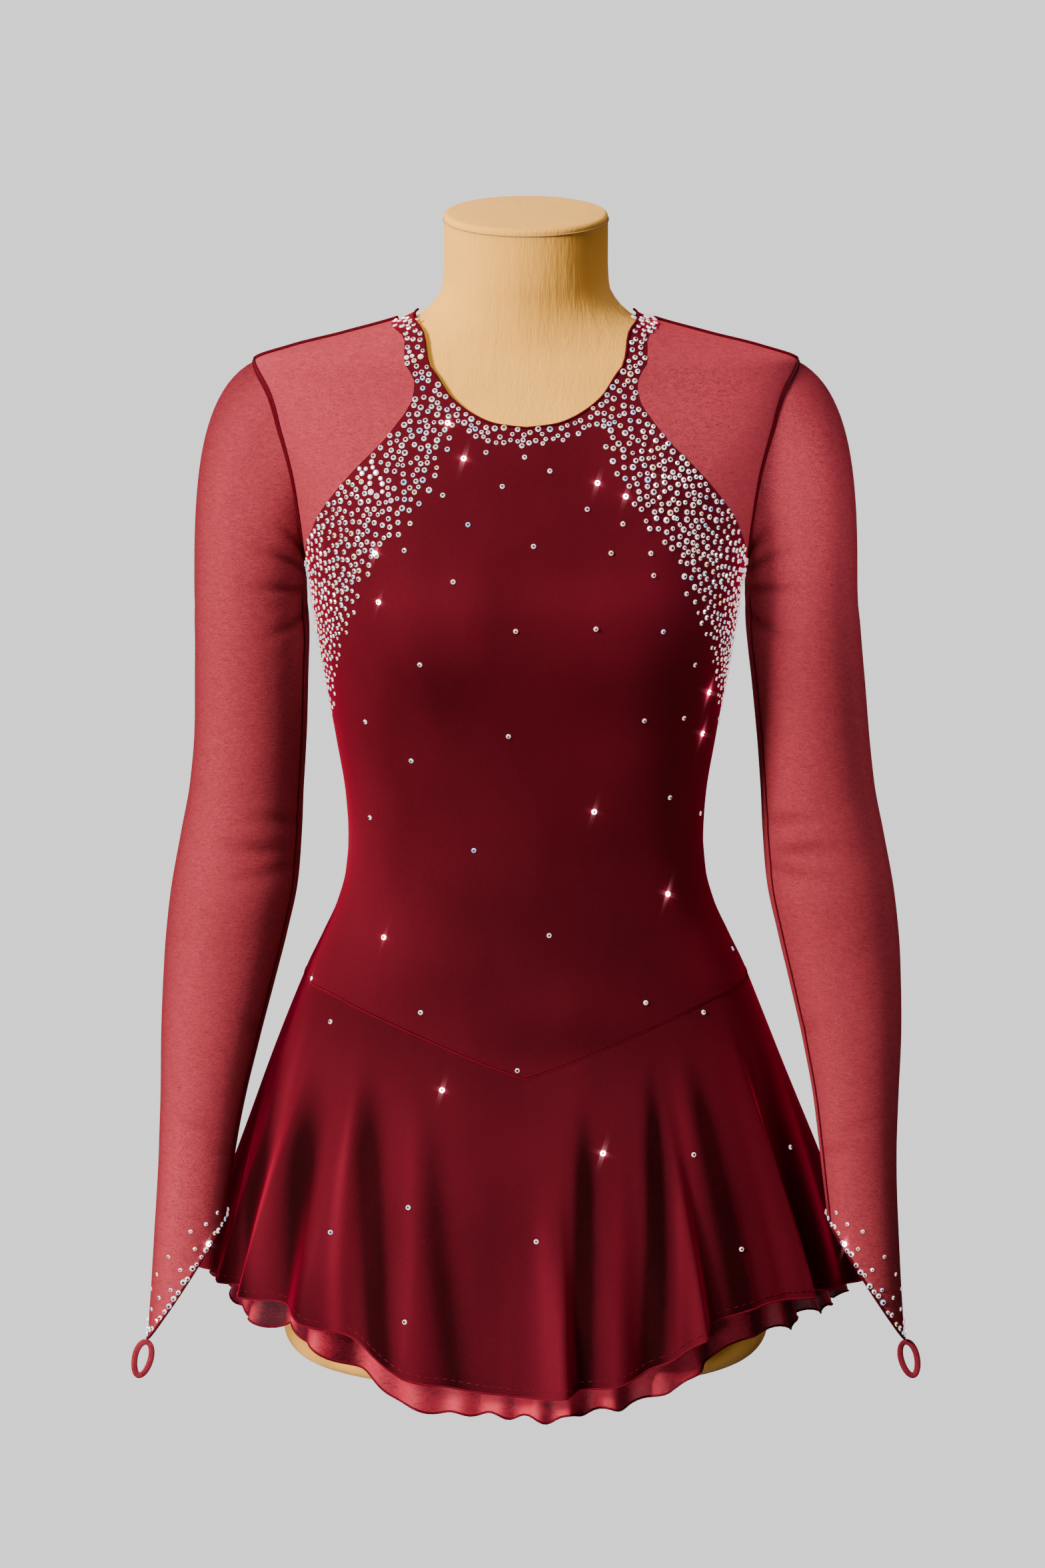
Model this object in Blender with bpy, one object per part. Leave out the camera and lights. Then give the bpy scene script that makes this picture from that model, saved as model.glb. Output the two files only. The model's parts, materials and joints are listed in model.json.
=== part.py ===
"""A figure skating dress on a limbless dress form.

Metres, +Z up. The dress faces -Y, and its left sleeve, as seen from the front, is at -X.
The origin is the middle of the form's flat base. Every cloth piece is a thin closed wall:
the panels lie on one body surface, the sleeves are tubes, and the skirts hang from the
hip seam to their hems.
"""
import math

import bpy
from mathutils import Vector

# Cloth walls and the gaps between pieces
WALL = 0.0012
SKIRT_WALL = 0.0010
SEAM_GAP = 0.0003
FORM_DEPTH = 0.0026
SHOULDER_DROP = 0.0026
# Heights at which the shoulder drop starts, is full, starts to fade and is gone
DROP_HEIGHTS = (0.66, 0.70, 0.74, 0.765)

# The body surface that the bodice's outer side follows: height, half width, depth to the
# front, depth to the back, and how square the section is (2 is an ellipse)
BODY = (
    (0.000, 0.1790, 0.1100, 0.1120, 2.2),
    (0.060, 0.1805, 0.1130, 0.1170, 2.2),
    (0.160, 0.1780, 0.1120, 0.1200, 2.2),
    (0.210, 0.1720, 0.1080, 0.1150, 2.2),
    (0.250, 0.1660, 0.1040, 0.1070, 2.2),
    (0.280, 0.1600, 0.1000, 0.0990, 2.2),
    (0.311, 0.1460, 0.0940, 0.0900, 2.2),
    (0.335, 0.1350, 0.0890, 0.0840, 2.2),
    (0.359, 0.1286, 0.0850, 0.0800, 2.2),
    (0.385, 0.1267, 0.0820, 0.0780, 2.2),
    (0.410, 0.1280, 0.0830, 0.0790, 2.2),
    (0.456, 0.1350, 0.0900, 0.0830, 2.2),
    (0.494, 0.1415, 0.1010, 0.0900, 2.2),
    (0.530, 0.1475, 0.1115, 0.0960, 2.2),
    (0.560, 0.1515, 0.1160, 0.0990, 2.2),
    (0.590, 0.1570, 0.1145, 0.1000, 2.2),
    (0.620, 0.1640, 0.1075, 0.0995, 2.2),
    (0.650, 0.1730, 0.0960, 0.0965, 2.2),
    (0.680, 0.1830, 0.0810, 0.0895, 2.1),
    (0.700, 0.1880, 0.0690, 0.0820, 2.0),
    (0.719, 0.1895, 0.0610, 0.0740, 1.8),
    (0.729, 0.1630, 0.0570, 0.0690, 1.7),
    (0.738, 0.1270, 0.0550, 0.0660, 1.7),
    (0.752, 0.0800, 0.0540, 0.0620, 1.8),
    (0.761, 0.0670, 0.0545, 0.0590, 1.9),
    (0.772, 0.0605, 0.0560, 0.0575, 2.0),
    (0.790, 0.0595, 0.0565, 0.0570, 2.0),
    (0.840, 0.0595, 0.0565, 0.0570, 2.0),
)

# The form's base edge and neck
BASE_ROUND = 0.022
NECK_TOP = 0.8165
NECK_TILT = math.radians(12.0)
NECK_TILT_START = 0.775
CAP_THICK = 0.0045
CAP_ROUND = 0.0030

# Seams on the body surface. Hip seam rows: distance from the middle, height.
HIP_SEAM_FRONT = ((0.000, 0.2305), (0.027, 0.2400), (0.0815, 0.2607), (0.1150, 0.2725),
                  (0.1390, 0.2800), (0.1590, 0.2835))
HIP_SEAM_BACK = ((0.000, 0.2600), (0.050, 0.2640), (0.1000, 0.2730), (0.1390, 0.2810),
                 (0.1590, 0.2835))

# Armhole rows: height, how far the front seam lies before the side line, and the back seam
# behind it. The first row is the underarm and the last the shoulder point.
ARMHOLE = (
    (0.5720, 0.000, 0.000),
    (0.5800, 0.013, 0.014),
    (0.5970, 0.026, 0.028),
    (0.6200, 0.033, 0.037),
    (0.6460, 0.036, 0.042),
    (0.6725, 0.031, 0.038),
    (0.6985, 0.021, 0.026),
    (0.7190, 0.000, 0.000),
)

# Halter edge and neckline rows: distance from the middle, height. The halter edge starts at
# the second armhole row. Each curve ends on the shoulder ridge, at its END distance, and its
# FOOT is the point where the neck strap starts.
HALTER_FRONT = ((0.1500, 0.6000), (0.1432, 0.6155), (0.1310, 0.6325), (0.1148, 0.6510),
                (0.0980, 0.6675), (0.0850, 0.6835), (0.0785, 0.6930), (0.0760, 0.7020),
                (0.0782, 0.7135), (0.0825, 0.7280), (0.0860, 0.7395))
HALTER_FRONT_FOOT = 8
HALTER_BACK = ((0.1500, 0.6000), (0.1425, 0.6180), (0.1310, 0.6370), (0.1160, 0.6580),
               (0.1010, 0.6790), (0.0900, 0.6990), (0.0850, 0.7130), (0.0845, 0.7260),
               (0.0860, 0.7395))
HALTER_BACK_FOOT = 7
HALTER_END = 0.0885
NECKLINE_FRONT = ((0.0000, 0.6780), (0.0226, 0.6810), (0.0400, 0.6890), (0.0534, 0.7000),
                  (0.0624, 0.7135), (0.0685, 0.7290), (0.0722, 0.7430))
NECKLINE_FRONT_FOOT = 3
NECKLINE_BACK = ((0.0000, 0.7180), (0.0300, 0.7205), (0.0520, 0.7290), (0.0660, 0.7410))
NECKLINE_BACK_FOOT = 2
NECKLINE_END = 0.0750
# The heights between which the shoulder ridge is looked for
RIDGE_LOW = 0.7195
RIDGE_HIGH = 0.800

# How finely the body panels are divided
UNDERARM_STEPS = 1
HALTER_STEPS = 5
STRAP_STEPS = 4
STRAP_WIDTH_STEPS = 2
NECKLINE_STEPS = 3
BODICE_ROWS = 15
YOKE_COLUMNS = 6
RIDGE_CROWDING = 1.35

# Sleeve rows: height, the tube's middle across, its middle along Y, half width and half
# depth
SLEEVE = (
    (0.600, 0.1940, 0.002, 0.0395, 0.0440),
    (0.561, 0.1941, 0.002, 0.0395, 0.0445),
    (0.532, 0.1949, 0.002, 0.0405, 0.0445),
    (0.494, 0.1975, 0.003, 0.0402, 0.0440),
    (0.456, 0.2001, 0.004, 0.0400, 0.0440),
    (0.420, 0.2035, 0.004, 0.0407, 0.0445),
    (0.385, 0.2078, 0.001, 0.0432, 0.0455),
    (0.348, 0.2127, -0.007, 0.0450, 0.0455),
    (0.314, 0.2184, -0.013, 0.0432, 0.0435),
    (0.286, 0.2226, -0.020, 0.0404, 0.0410),
    (0.245, 0.2279, -0.032, 0.0356, 0.0370),
    (0.199, 0.2322, -0.045, 0.0300, 0.0320),
    (0.154, 0.2353, -0.058, 0.0266, 0.0285),
    (0.119, 0.2380, -0.068, 0.0251, 0.0265),
    (0.080, 0.2403, -0.078, 0.0246, 0.0255),
    (0.030, 0.2440, -0.088, 0.0240, 0.0250),
)
# How far both sleeves sway to +X: height, shift
SLEEVE_SWAY = (
    (0.030, 0.0000),
    (0.120, 0.0005),
    (0.170, 0.0014),
    (0.210, 0.0028),
    (0.255, 0.0040),
    (0.320, 0.0047),
    (0.440, 0.0044),
    (0.520, 0.0018),
    (0.565, 0.0000),
    (0.800, 0.0000),
)
SLEEVE_CAP_END = 0.548
SLEEVE_CUT_START = 0.150
CUFF_INNER_HEIGHT = 0.119
CUFF_TIP_HEIGHT = 0.0372
CAP_ROWS = 4
ARM_HEIGHTS = (0.505, 0.460, 0.415, 0.378, 0.342, 0.305, 0.260, 0.215, 0.180)
CUFF_ROWS = 3
CAP_REACH = 0.30
CAP_SLOPE = 0.20
# The way the sleeve cap leaves the shoulder, how much it rounds out at the front and back,
# and the way it comes down into the arm
CAP_OUT = Vector((0.97, 0.0, -0.24))
CAP_ROUNDING = 0.25
CAP_ARRIVAL = Vector((-0.03, 0.0, 1.0))
UNDERARM_LIFT = 0.0006

# Finger loops: a flat oval ring hung from the sleeve point
LOOP_MIDDLE = (0.2712, -0.0875, 0.0222)
LOOP_HALF = (0.0080, 0.0150)
LOOP_HOLE_HALF = (0.0031, 0.0098)
LOOP_THICK = 0.0012
LOOP_LEAN = math.radians(14)
LOOP_SIDES = 20

# Skirt hems: half width, depth to the front and back
HEM_HALF = 0.2330
HEM_FRONT = 0.1700
HEM_BACK = 0.1640
HEM_SQUARE = 2.1
HEM_BULGE = 0.25
# Hem heights: degrees from the front's middle towards +X, the outer hem, the under hem
HEMS = (
    (-180.0, 0.0400, 0.0240),
    (-135.0, 0.0460, 0.0310),
    (-105.0, 0.0600, 0.0500),
    (-90.0, 0.0660, 0.0610),
    (-75.0, 0.0710, 0.0650),
    (-60.0, 0.0740, 0.0545),
    (-45.0, 0.0725, 0.0530),
    (-35.0, 0.0620, 0.0400),
    (-25.0, 0.0430, 0.0190),
    (-15.0, 0.0290, 0.0080),
    (0.0, 0.0235, 0.0060),
    (10.0, 0.0265, 0.0080),
    (20.0, 0.0335, 0.0120),
    (27.0, 0.0520, 0.0260),
    (35.0, 0.0690, 0.0400),
    (45.0, 0.0770, 0.0540),
    (60.0, 0.0710, 0.0520),
    (75.0, 0.0620, 0.0500),
    (90.0, 0.0560, 0.0470),
    (105.0, 0.0530, 0.0410),
    (135.0, 0.0460, 0.0310),
    (180.0, 0.0400, 0.0240),
)
UNDER_TOP = 0.085
UNDER_INSET_TOP = 0.0006
UNDER_INSET_HEM = 0.0075
UNDER_WAVE = 0.0022
UNDER_WAVES = 17
# Folds: the length part at which they would be full, their gain, and what the under layer
# loses of them towards its hem
FOLD_FULL_AT = 1.25
FOLD_GAIN = 1.12
UNDER_FOLD_LOSS = 0.25
OUTER_ROWS = (0.0, 0.09, 0.21, 0.35, 0.50, 0.66, 0.83, 1.0)
UNDER_ROWS = (0.0, 0.16, 0.35, 0.56, 0.78, 1.0)

# Skirt folds, seen from the front, going round from the left side seam over the front:
# the ridge's angle from the middle in degrees, how far it stands out at the hem and the
# fraction of the skirt's length where it begins, then the same for the trough after it.
# A ridge close to its trough is a sharp edge.
FRONT_FOLDS = (
    (-84.0, 0.0060, 0.30, -76.0, -0.0060, 0.20),
    (-66.0, 0.0035, 0.25, -61.0, -0.0050, 0.20),
    (-54.5, 0.0100, 0.08, -47.0, -0.0050, 0.15),
    (-38.7, 0.0120, 0.10, -31.5, -0.0080, 0.15),
    (-20.5, 0.0060, 0.15, -13.0, -0.0050, 0.15),
    (-5.0, -0.0040, 0.30, -2.0, -0.0010, 0.30),
    (6.5, 0.0075, 0.20, 9.4, -0.0070, 0.35),
    (15.5, 0.0010, 0.20, 21.5, -0.0090, 0.20),
    (25.6, 0.0045, 0.45, 27.4, 0.0060, 0.40),
    (30.2, 0.0095, 0.05, 33.5, -0.0035, 0.05),
    (41.0, 0.0050, 0.20, 47.0, 0.0060, 0.10),
    (54.5, 0.0120, 0.05, 58.0, -0.0100, 0.05),
    (68.0, 0.0030, 0.10, 76.0, 0.0000, 0.05),
    (84.0, 0.0130, 0.05, 90.0, 0.0080, 0.05),
)
BACK_FOLDS = (
    (96.0, 0.0120, 0.05, 103.0, -0.0050, 0.10),
    (111.0, 0.0090, 0.12, 118.0, -0.0060, 0.15),
    (127.0, 0.0060, 0.20, 135.0, -0.0070, 0.20),
    (144.0, 0.0100, 0.10, 152.0, -0.0050, 0.20),
    (161.0, 0.0050, 0.25, 169.0, -0.0070, 0.20),
    (179.0, 0.0085, 0.15, 188.0, -0.0060, 0.20),
    (197.0, 0.0055, 0.20, 205.0, -0.0060, 0.15),
    (214.0, 0.0100, 0.10, 221.0, -0.0065, 0.20),
    (230.0, 0.0055, 0.25, 238.0, -0.0070, 0.15),
    (247.0, 0.0090, 0.12, 255.0, -0.0060, 0.20),
    (263.0, 0.0040, 0.30, 270.0, 0.0000, 0.30),
)
WIDEST_COLUMN = math.radians(5.2)

# The form's own rings and columns
FORM_COLUMNS = 28
FORM_RINGS = (0.060, 0.160, 0.215, 0.255, 0.285, 0.313, 0.342, 0.364, 0.385, 0.425, 0.465, 0.505,
              0.540, 0.570, 0.600, 0.632, 0.662, 0.687, 0.705, 0.714, 0.720, 0.727, 0.735,
              0.744, 0.753, 0.763, 0.778)
BASE_ROUND_STEPS = 3

# Finishes from the photo: linear colour, roughness and metallic value
FINISHES = {
    "velvet": ((0.155, 0.010, 0.022), 0.75, 0.0),
    "mesh": ((0.360, 0.050, 0.070), 0.70, 0.0),
    "sheer": ((0.300, 0.030, 0.055), 0.60, 0.0),
    "jersey": ((0.720, 0.470, 0.235), 0.80, 0.0),
}
QUARTER = math.pi / 2


def eased(rows, value):
    """Reads a table at a value of its first column, smoothly and with no overshoot."""
    last = len(rows) - 1
    value = min(max(value, rows[0][0]), rows[last][0])
    low = 0
    while low < last - 1 and rows[low + 1][0] < value:
        low += 1
    step = rows[low + 1][0] - rows[low][0]
    part = (value - rows[low][0]) / step

    def slope(index, column):
        if index == 0 or index == last:
            near = 0 if index == 0 else last - 1
            return (rows[near + 1][column] - rows[near][column]) / (rows[near + 1][0] - rows[near][0])
        before = rows[index][0] - rows[index - 1][0]
        after = rows[index + 1][0] - rows[index][0]
        rise_before = (rows[index][column] - rows[index - 1][column]) / before
        rise_after = (rows[index + 1][column] - rows[index][column]) / after
        if rise_before * rise_after <= 0:
            return 0.0
        weight_before = 2 * after + before
        weight_after = after + 2 * before
        return (weight_before + weight_after) / (weight_before / rise_before + weight_after / rise_after)

    values = []
    for column in range(1, len(rows[0])):
        start = rows[low][column]
        end = rows[low + 1][column]
        cubic = (2 * part**3 - 3 * part**2 + 1) * start + (3 * part**2 - 2 * part**3) * end
        cubic += (part**3 - 2 * part**2 + part) * step * slope(low, column)
        cubic += (part**3 - part**2) * step * slope(low + 1, column)
        values.append(cubic)
    return values


def smooth_step(value):
    value = min(max(value, 0.0), 1.0)
    return value * value * (3 - 2 * value)


def oval(angle, half, front, back, square):
    """A point on a rounded section: angle 0 is the front, a quarter turn is +X."""
    across = math.sin(angle)
    along = -math.cos(angle)
    reach = (abs(across) ** square + abs(along) ** square) ** (-1 / square)
    return half * reach * across, (front if along < 0 else back) * reach * along


def body_outline(angle, height):
    x, y = oval(angle, *eased(BODY, height))
    return Vector((x, y, height))


def body_normal(angle, height):
    small = 0.0008
    round_way = body_outline(angle + small * 5, height) - body_outline(angle - small * 5, height)
    up_way = body_outline(angle, height + small) - body_outline(angle, height - small)
    return round_way.cross(up_way).normalized()


def body_point(angle, height, lift=0.0):
    point = body_outline(angle, height)
    if lift:
        point = point + lift * body_normal(angle, height)
    return point


def angle_across(x, height, behind=False):
    """The angle at which the body surface is x from the middle."""
    half, front, back, square = eased(BODY, height)
    across = min(x / half, 1.0)
    along = (1 - across**square) ** (1 / square)
    angle = math.atan2(across, along)
    return math.pi - angle if behind else angle


def angle_along(y, height):
    """The angle at which the right half of the body surface is at depth y."""
    half, front, back, square = eased(BODY, height)
    along = min(abs(y) / (front if y < 0 else back), 1.0)
    across = (1 - along**square) ** (1 / square)
    angle = math.atan2(across, along)
    return angle if y < 0 else math.pi - angle


def ridge_height(x):
    """The height at which the shoulder ridge is x from the middle."""
    low, high = RIDGE_LOW, RIDGE_HIGH
    for _ in range(40):
        middle = (low + high) / 2
        if eased(BODY, middle)[0] > x:
            low = middle
        else:
            high = middle
    return (low + high) / 2


def spaced(rows, first, last, steps, crowding=1.0):
    """Points at even lengths on a smooth curve through rows of angle and height.

    The curve runs from row first to row last. A crowding above 1 draws the points
    towards the end.
    """
    def on_curve(place):
        low = min(int(place), len(rows) - 2)
        part = place - low
        known = [rows[min(max(low + shift, 0), len(rows) - 1)] for shift in (-1, 0, 1, 2)]
        result = []
        for p0, p1, p2, p3 in zip(*known):
            result.append(p1 + 0.5 * part * (p2 - p0 + part * (2 * p0 - 5 * p1 + 4 * p2 - p3
                          + part * (3 * (p1 - p2) + p3 - p0))))
        return tuple(result)

    fine = 60 * (last - first)
    places = [on_curve(first + (last - first) * i / fine) for i in range(fine + 1)]
    lengths = [0.0]
    for start, end in zip(places, places[1:]):
        lengths.append(lengths[-1] + (body_outline(*end) - body_outline(*start)).length)
    picked = []
    for i in range(steps + 1):
        wanted = lengths[-1] * (1 - (1 - i / steps) ** crowding)
        index = min(range(fine + 1), key=lambda k: abs(lengths[k] - wanted))
        picked.append(places[index])
    return picked


def armhole_rows(behind):
    rows = []
    for height, front, back in ARMHOLE:
        depth = back if behind else -front
        rows.append((QUARTER if depth == 0 else angle_along(depth, height), height))
    return rows


def edge_rows(table, end, behind):
    rows = [(angle_across(x, height, behind), height) for x, height in table]
    return rows + [(QUARTER, ridge_height(end))]


class HalfSeams:
    """The right half's seam points, front or back, as rows of angle and height."""

    def __init__(self, behind):
        armhole = armhole_rows(behind)
        self.underarm = spaced(armhole, 0, 1, UNDERARM_STEPS)
        self.armhole = spaced(armhole, 1, len(armhole) - 1, HALTER_STEPS + STRAP_STEPS,
                              RIDGE_CROWDING)
        foot = HALTER_BACK_FOOT if behind else HALTER_FRONT_FOOT
        halter = [armhole[1]]
        halter += edge_rows(HALTER_BACK if behind else HALTER_FRONT, HALTER_END, behind)
        self.halter = spaced(halter, 0, foot, HALTER_STEPS)
        self.strap_outer = spaced(halter, foot, len(halter) - 1, STRAP_STEPS, RIDGE_CROWDING)
        foot = NECKLINE_BACK_FOOT if behind else NECKLINE_FRONT_FOOT
        neckline = edge_rows(NECKLINE_BACK if behind else NECKLINE_FRONT, NECKLINE_END, behind)
        self.neckline = spaced(neckline, 0, foot, NECKLINE_STEPS)
        self.strap_inner = spaced(neckline, foot, len(neckline) - 1, STRAP_STEPS, RIDGE_CROWDING)


def hip_rows(behind):
    table = HIP_SEAM_BACK if behind else HIP_SEAM_FRONT
    rows = [(angle_across(x, height), height) for x, height in table[:-1]]
    return rows + [(QUARTER, table[-1][1])]


def hip_height(angle):
    """The hip seam's height at an angle all round the body."""
    turned = abs((angle + math.pi) % (2 * math.pi) - math.pi)
    if turned > QUARTER:
        return eased(HIP_ROWS_BACK, math.pi - turned)[0]
    return eased(HIP_ROWS_FRONT, turned)[0]


HIP_ROWS_FRONT = hip_rows(False)
HIP_ROWS_BACK = hip_rows(True)


def split_quads(points, faces, fuller):
    """Cuts each quad along the diagonal that lies farther out, or farther in if not fuller."""
    cut = []
    for face in faces:
        if len(face) != 4:
            cut.append(face)
            continue
        a, b, c, d = (points[i] for i in face)
        outward = (c - a).cross(d - b)
        first_is_out = outward.dot(a + c - b - d) > 0
        if first_is_out == fuller:
            cut += [[face[0], face[1], face[2]], [face[0], face[2], face[3]]]
        else:
            cut += [[face[1], face[2], face[3]], [face[1], face[3], face[0]]]
    return cut


class Cloth:
    """A sheet of points and faces that is made into a thin closed wall."""

    def __init__(self):
        self.points = []
        self.normals = []
        self.faces = []
        self.known = {}

    def add(self, point, normal=None):
        key = tuple(round(value, 6) for value in point)
        if key not in self.known:
            self.known[key] = len(self.points)
            self.points.append(Vector(point))
            self.normals.append(normal)
        return self.known[key]

    def grid(self, rows, closed=False):
        """Faces between rows of point numbers. Repeated points make triangles."""
        for low, high in zip(rows, rows[1:]):
            count = len(low) if closed else len(low) - 1
            for i in range(count):
                j = (i + 1) % len(low)
                corners = []
                for corner in (low[i], low[j], high[j], high[i]):
                    if corner not in corners:
                        corners.append(corner)
                if len(corners) > 2:
                    self.faces.append(corners)

    def fill_normals(self):
        """Points with no normal of their own take the mean of their faces'."""
        sums = [Vector((0, 0, 0)) for _ in self.points]
        for face in self.faces:
            corners = [self.points[i] for i in face]
            area = Vector((0, 0, 0))
            for a, b in zip(corners[1:], corners[2:]):
                area += (a - corners[0]).cross(b - corners[0])
            for i in face:
                sums[i] += area
        for i, normal in enumerate(self.normals):
            if normal is None:
                self.normals[i] = sums[i].normalized()

    def open_edges(self):
        seen = {(a, b) for face in self.faces for a, b in zip(face, face[1:] + face[:1])}
        return [(a, b) for a, b in seen if (b, a) not in seen]

    def draw_back(self, gap):
        """Moves every open edge half a seam gap into its own piece."""
        moves = {}
        for a, b in self.open_edges():
            along = (self.points[b] - self.points[a]).normalized()
            for i in (a, b):
                moves.setdefault(i, []).append(self.normals[i].cross(along).normalized())
        for i, ways in moves.items():
            total = ways[0] + ways[1]
            spread = max(1 + ways[0].dot(ways[1]), 0.06)
            self.points[i] = self.points[i] + total * (gap / 2 / spread)

    def solid(self, name, wall, finish):
        self.fill_normals()
        self.faces = split_quads(self.points, self.faces, fuller=True)
        count = len(self.points)
        inner = [point - wall * normal for point, normal in zip(self.points, self.normals)]
        faces = [list(face) for face in self.faces]
        faces += [[i + count for i in reversed(face)] for face in self.faces]
        faces += [[b, a, a + count, b + count] for a, b in self.open_edges()]
        return make_object(name, self.points + inner, faces, finish)


def material(finish):
    found = bpy.data.materials.get(finish)
    if found:
        return found
    colour, roughness, metallic = FINISHES[finish]
    made = bpy.data.materials.new(finish)
    made.use_nodes = True
    shader = made.node_tree.nodes["Principled BSDF"]
    shader.inputs["Base Color"].default_value = (*colour, 1.0)
    shader.inputs["Roughness"].default_value = roughness
    shader.inputs["Metallic"].default_value = metallic
    made.diffuse_color = (*colour, 1.0)
    return made


def make_object(name, points, faces, finish):
    mesh = bpy.data.meshes.new(name)
    mesh.from_pydata([tuple(point) for point in points], [], faces)
    mesh.materials.append(material(finish))
    mesh.shade_smooth()
    mesh.set_sharp_from_angle(angle=math.radians(40))
    made = bpy.data.objects.new(name, mesh)
    bpy.context.scene.collection.objects.link(made)
    return made


def on_body(cloth, place, side=1):
    angle, height = place
    angle = angle * side
    return cloth.add(body_point(angle, height), body_normal(angle, height))


def between(start, end, part):
    return tuple(a + (b - a) * part for a, b in zip(start, end))


def bodice(name, seams, behind):
    """The body panel from the hip seam up to the underarms, halter edge and neckline."""
    foot_outer = seams.halter[-1]
    foot_inner = seams.neckline[-1]
    foot = [between(foot_outer, foot_inner, i / STRAP_WIDTH_STEPS)
            for i in range(STRAP_WIDTH_STEPS + 1)]
    top = seams.underarm + seams.halter[1:] + foot[1:] + list(reversed(seams.neckline))[1:]
    count = len(top) - 1
    middle = math.pi if behind else 0.0
    columns = []
    for i, end in enumerate(top):
        angle = QUARTER + (middle - QUARTER) * i / count
        start = (angle, hip_height(angle))
        columns.append([between(start, end, k / BODICE_ROWS) for k in range(BODICE_ROWS + 1)])
    cloth = Cloth()
    right = [[on_body(cloth, place) for place in column] for column in columns]
    left = [[on_body(cloth, place, -1) for place in column] for column in columns]
    first, second = (right, left) if behind else (left, right)
    across = first + list(reversed(second))[1:]
    cloth.grid([[column[k] for column in across] for k in range(BODICE_ROWS + 1)])
    for side in (1, -1):
        rows = []
        for outer, inner in zip(seams.strap_outer, seams.strap_inner):
            row = [on_body(cloth, between(outer, inner, i / STRAP_WIDTH_STEPS), side)
                   for i in range(STRAP_WIDTH_STEPS + 1)]
            rows.append(row if (side < 0) != behind else row[::-1])
        cloth.grid(rows)
    cloth.draw_back(SEAM_GAP)
    return cloth.solid(name, WALL, "velvet")


def yoke(name, seams, side, behind):
    """The mesh inset between the halter edge, the armhole and the shoulder ridge."""
    cloth = Cloth()
    inner_edge = seams.halter + seams.strap_outer[1:]
    rows = []
    for inner, outer in zip(inner_edge, seams.armhole):
        row = [on_body(cloth, between(inner, outer, i / YOKE_COLUMNS), side)
               for i in range(YOKE_COLUMNS + 1)]
        rows.append(row if (side > 0) != behind else row[::-1])
    cloth.grid(rows)
    cloth.draw_back(SEAM_GAP)
    return cloth.solid(name, WALL, "mesh")


def sleeve_point(turn, height):
    """A point on the right sleeve's tube: turn 0 is the outer side, then the front."""
    middle_x, middle_y, half, depth = eased(SLEEVE_UPWARD, height)
    return Vector((middle_x + half * math.cos(turn), middle_y - depth * math.sin(turn), height))


SLEEVE_UPWARD = tuple(reversed(SLEEVE))


def swayed(point):
    return point + Vector((eased(SLEEVE_SWAY, point.z)[0], 0.0, 0.0))


def cuff_height(turn):
    middle = (CUFF_INNER_HEIGHT + CUFF_TIP_HEIGHT) / 2
    return middle - (CUFF_INNER_HEIGHT - CUFF_TIP_HEIGHT) / 2 * math.cos(turn)


def sleeve_cap_point(place, turn, part):
    """From the armhole out over the shoulder and into the tube of the arm."""
    under = (1 - math.cos(turn)) / 2
    normal = body_normal(*place)
    slope = CAP_SLOPE + (1 - CAP_SLOPE) * under
    way = CAP_OUT.lerp(Vector((0.0, 0.0, -1.0)), slope).normalized()
    start = body_point(*place, lift=UNDERARM_LIFT * under) + way * (SEAM_GAP / 2)
    end = sleeve_point(turn, SLEEVE_CAP_END)
    reach = (end - start).length * CAP_REACH
    leave = start + (way + CAP_ROUNDING * normal * math.sin(turn) ** 2).normalized() * reach
    arrive = end + CAP_ARRIVAL * reach
    rest = 1 - part
    return (rest**3 * start + 3 * rest**2 * part * leave + 3 * rest * part**2 * arrive
            + part**3 * end)


def sleeve(name, front, back, side):
    """A tube from the armhole to the pointed cuff, open at both ends."""
    places = list(reversed(front.underarm[:-1] + front.armhole))
    places += (back.underarm[:-1] + back.armhole)[1:-1]
    turns = [2 * math.pi * k / len(places) for k in range(len(places))]
    rings = []
    for row in range(CAP_ROWS):
        rings.append([sleeve_cap_point(place, turn, row / CAP_ROWS)
                      for place, turn in zip(places, turns)])
    for height in (SLEEVE_CAP_END, *ARM_HEIGHTS, SLEEVE_CUT_START):
        rings.append([sleeve_point(turn, height) for turn in turns])
    for row in range(1, CUFF_ROWS + 1):
        part = row / CUFF_ROWS
        rings.append([sleeve_point(turn, SLEEVE_CUT_START
                                   + (cuff_height(turn) - SLEEVE_CUT_START) * part)
                      for turn in turns])
    cloth = Cloth()
    mirror = Vector((side, 1, 1))
    numbers = [[cloth.add(swayed(point * mirror)) for point in ring] for ring in rings]
    if side < 0:
        numbers = [ring[::-1] for ring in numbers]
    cloth.grid(numbers, closed=True)
    return cloth.solid(name, WALL, "mesh")


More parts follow.
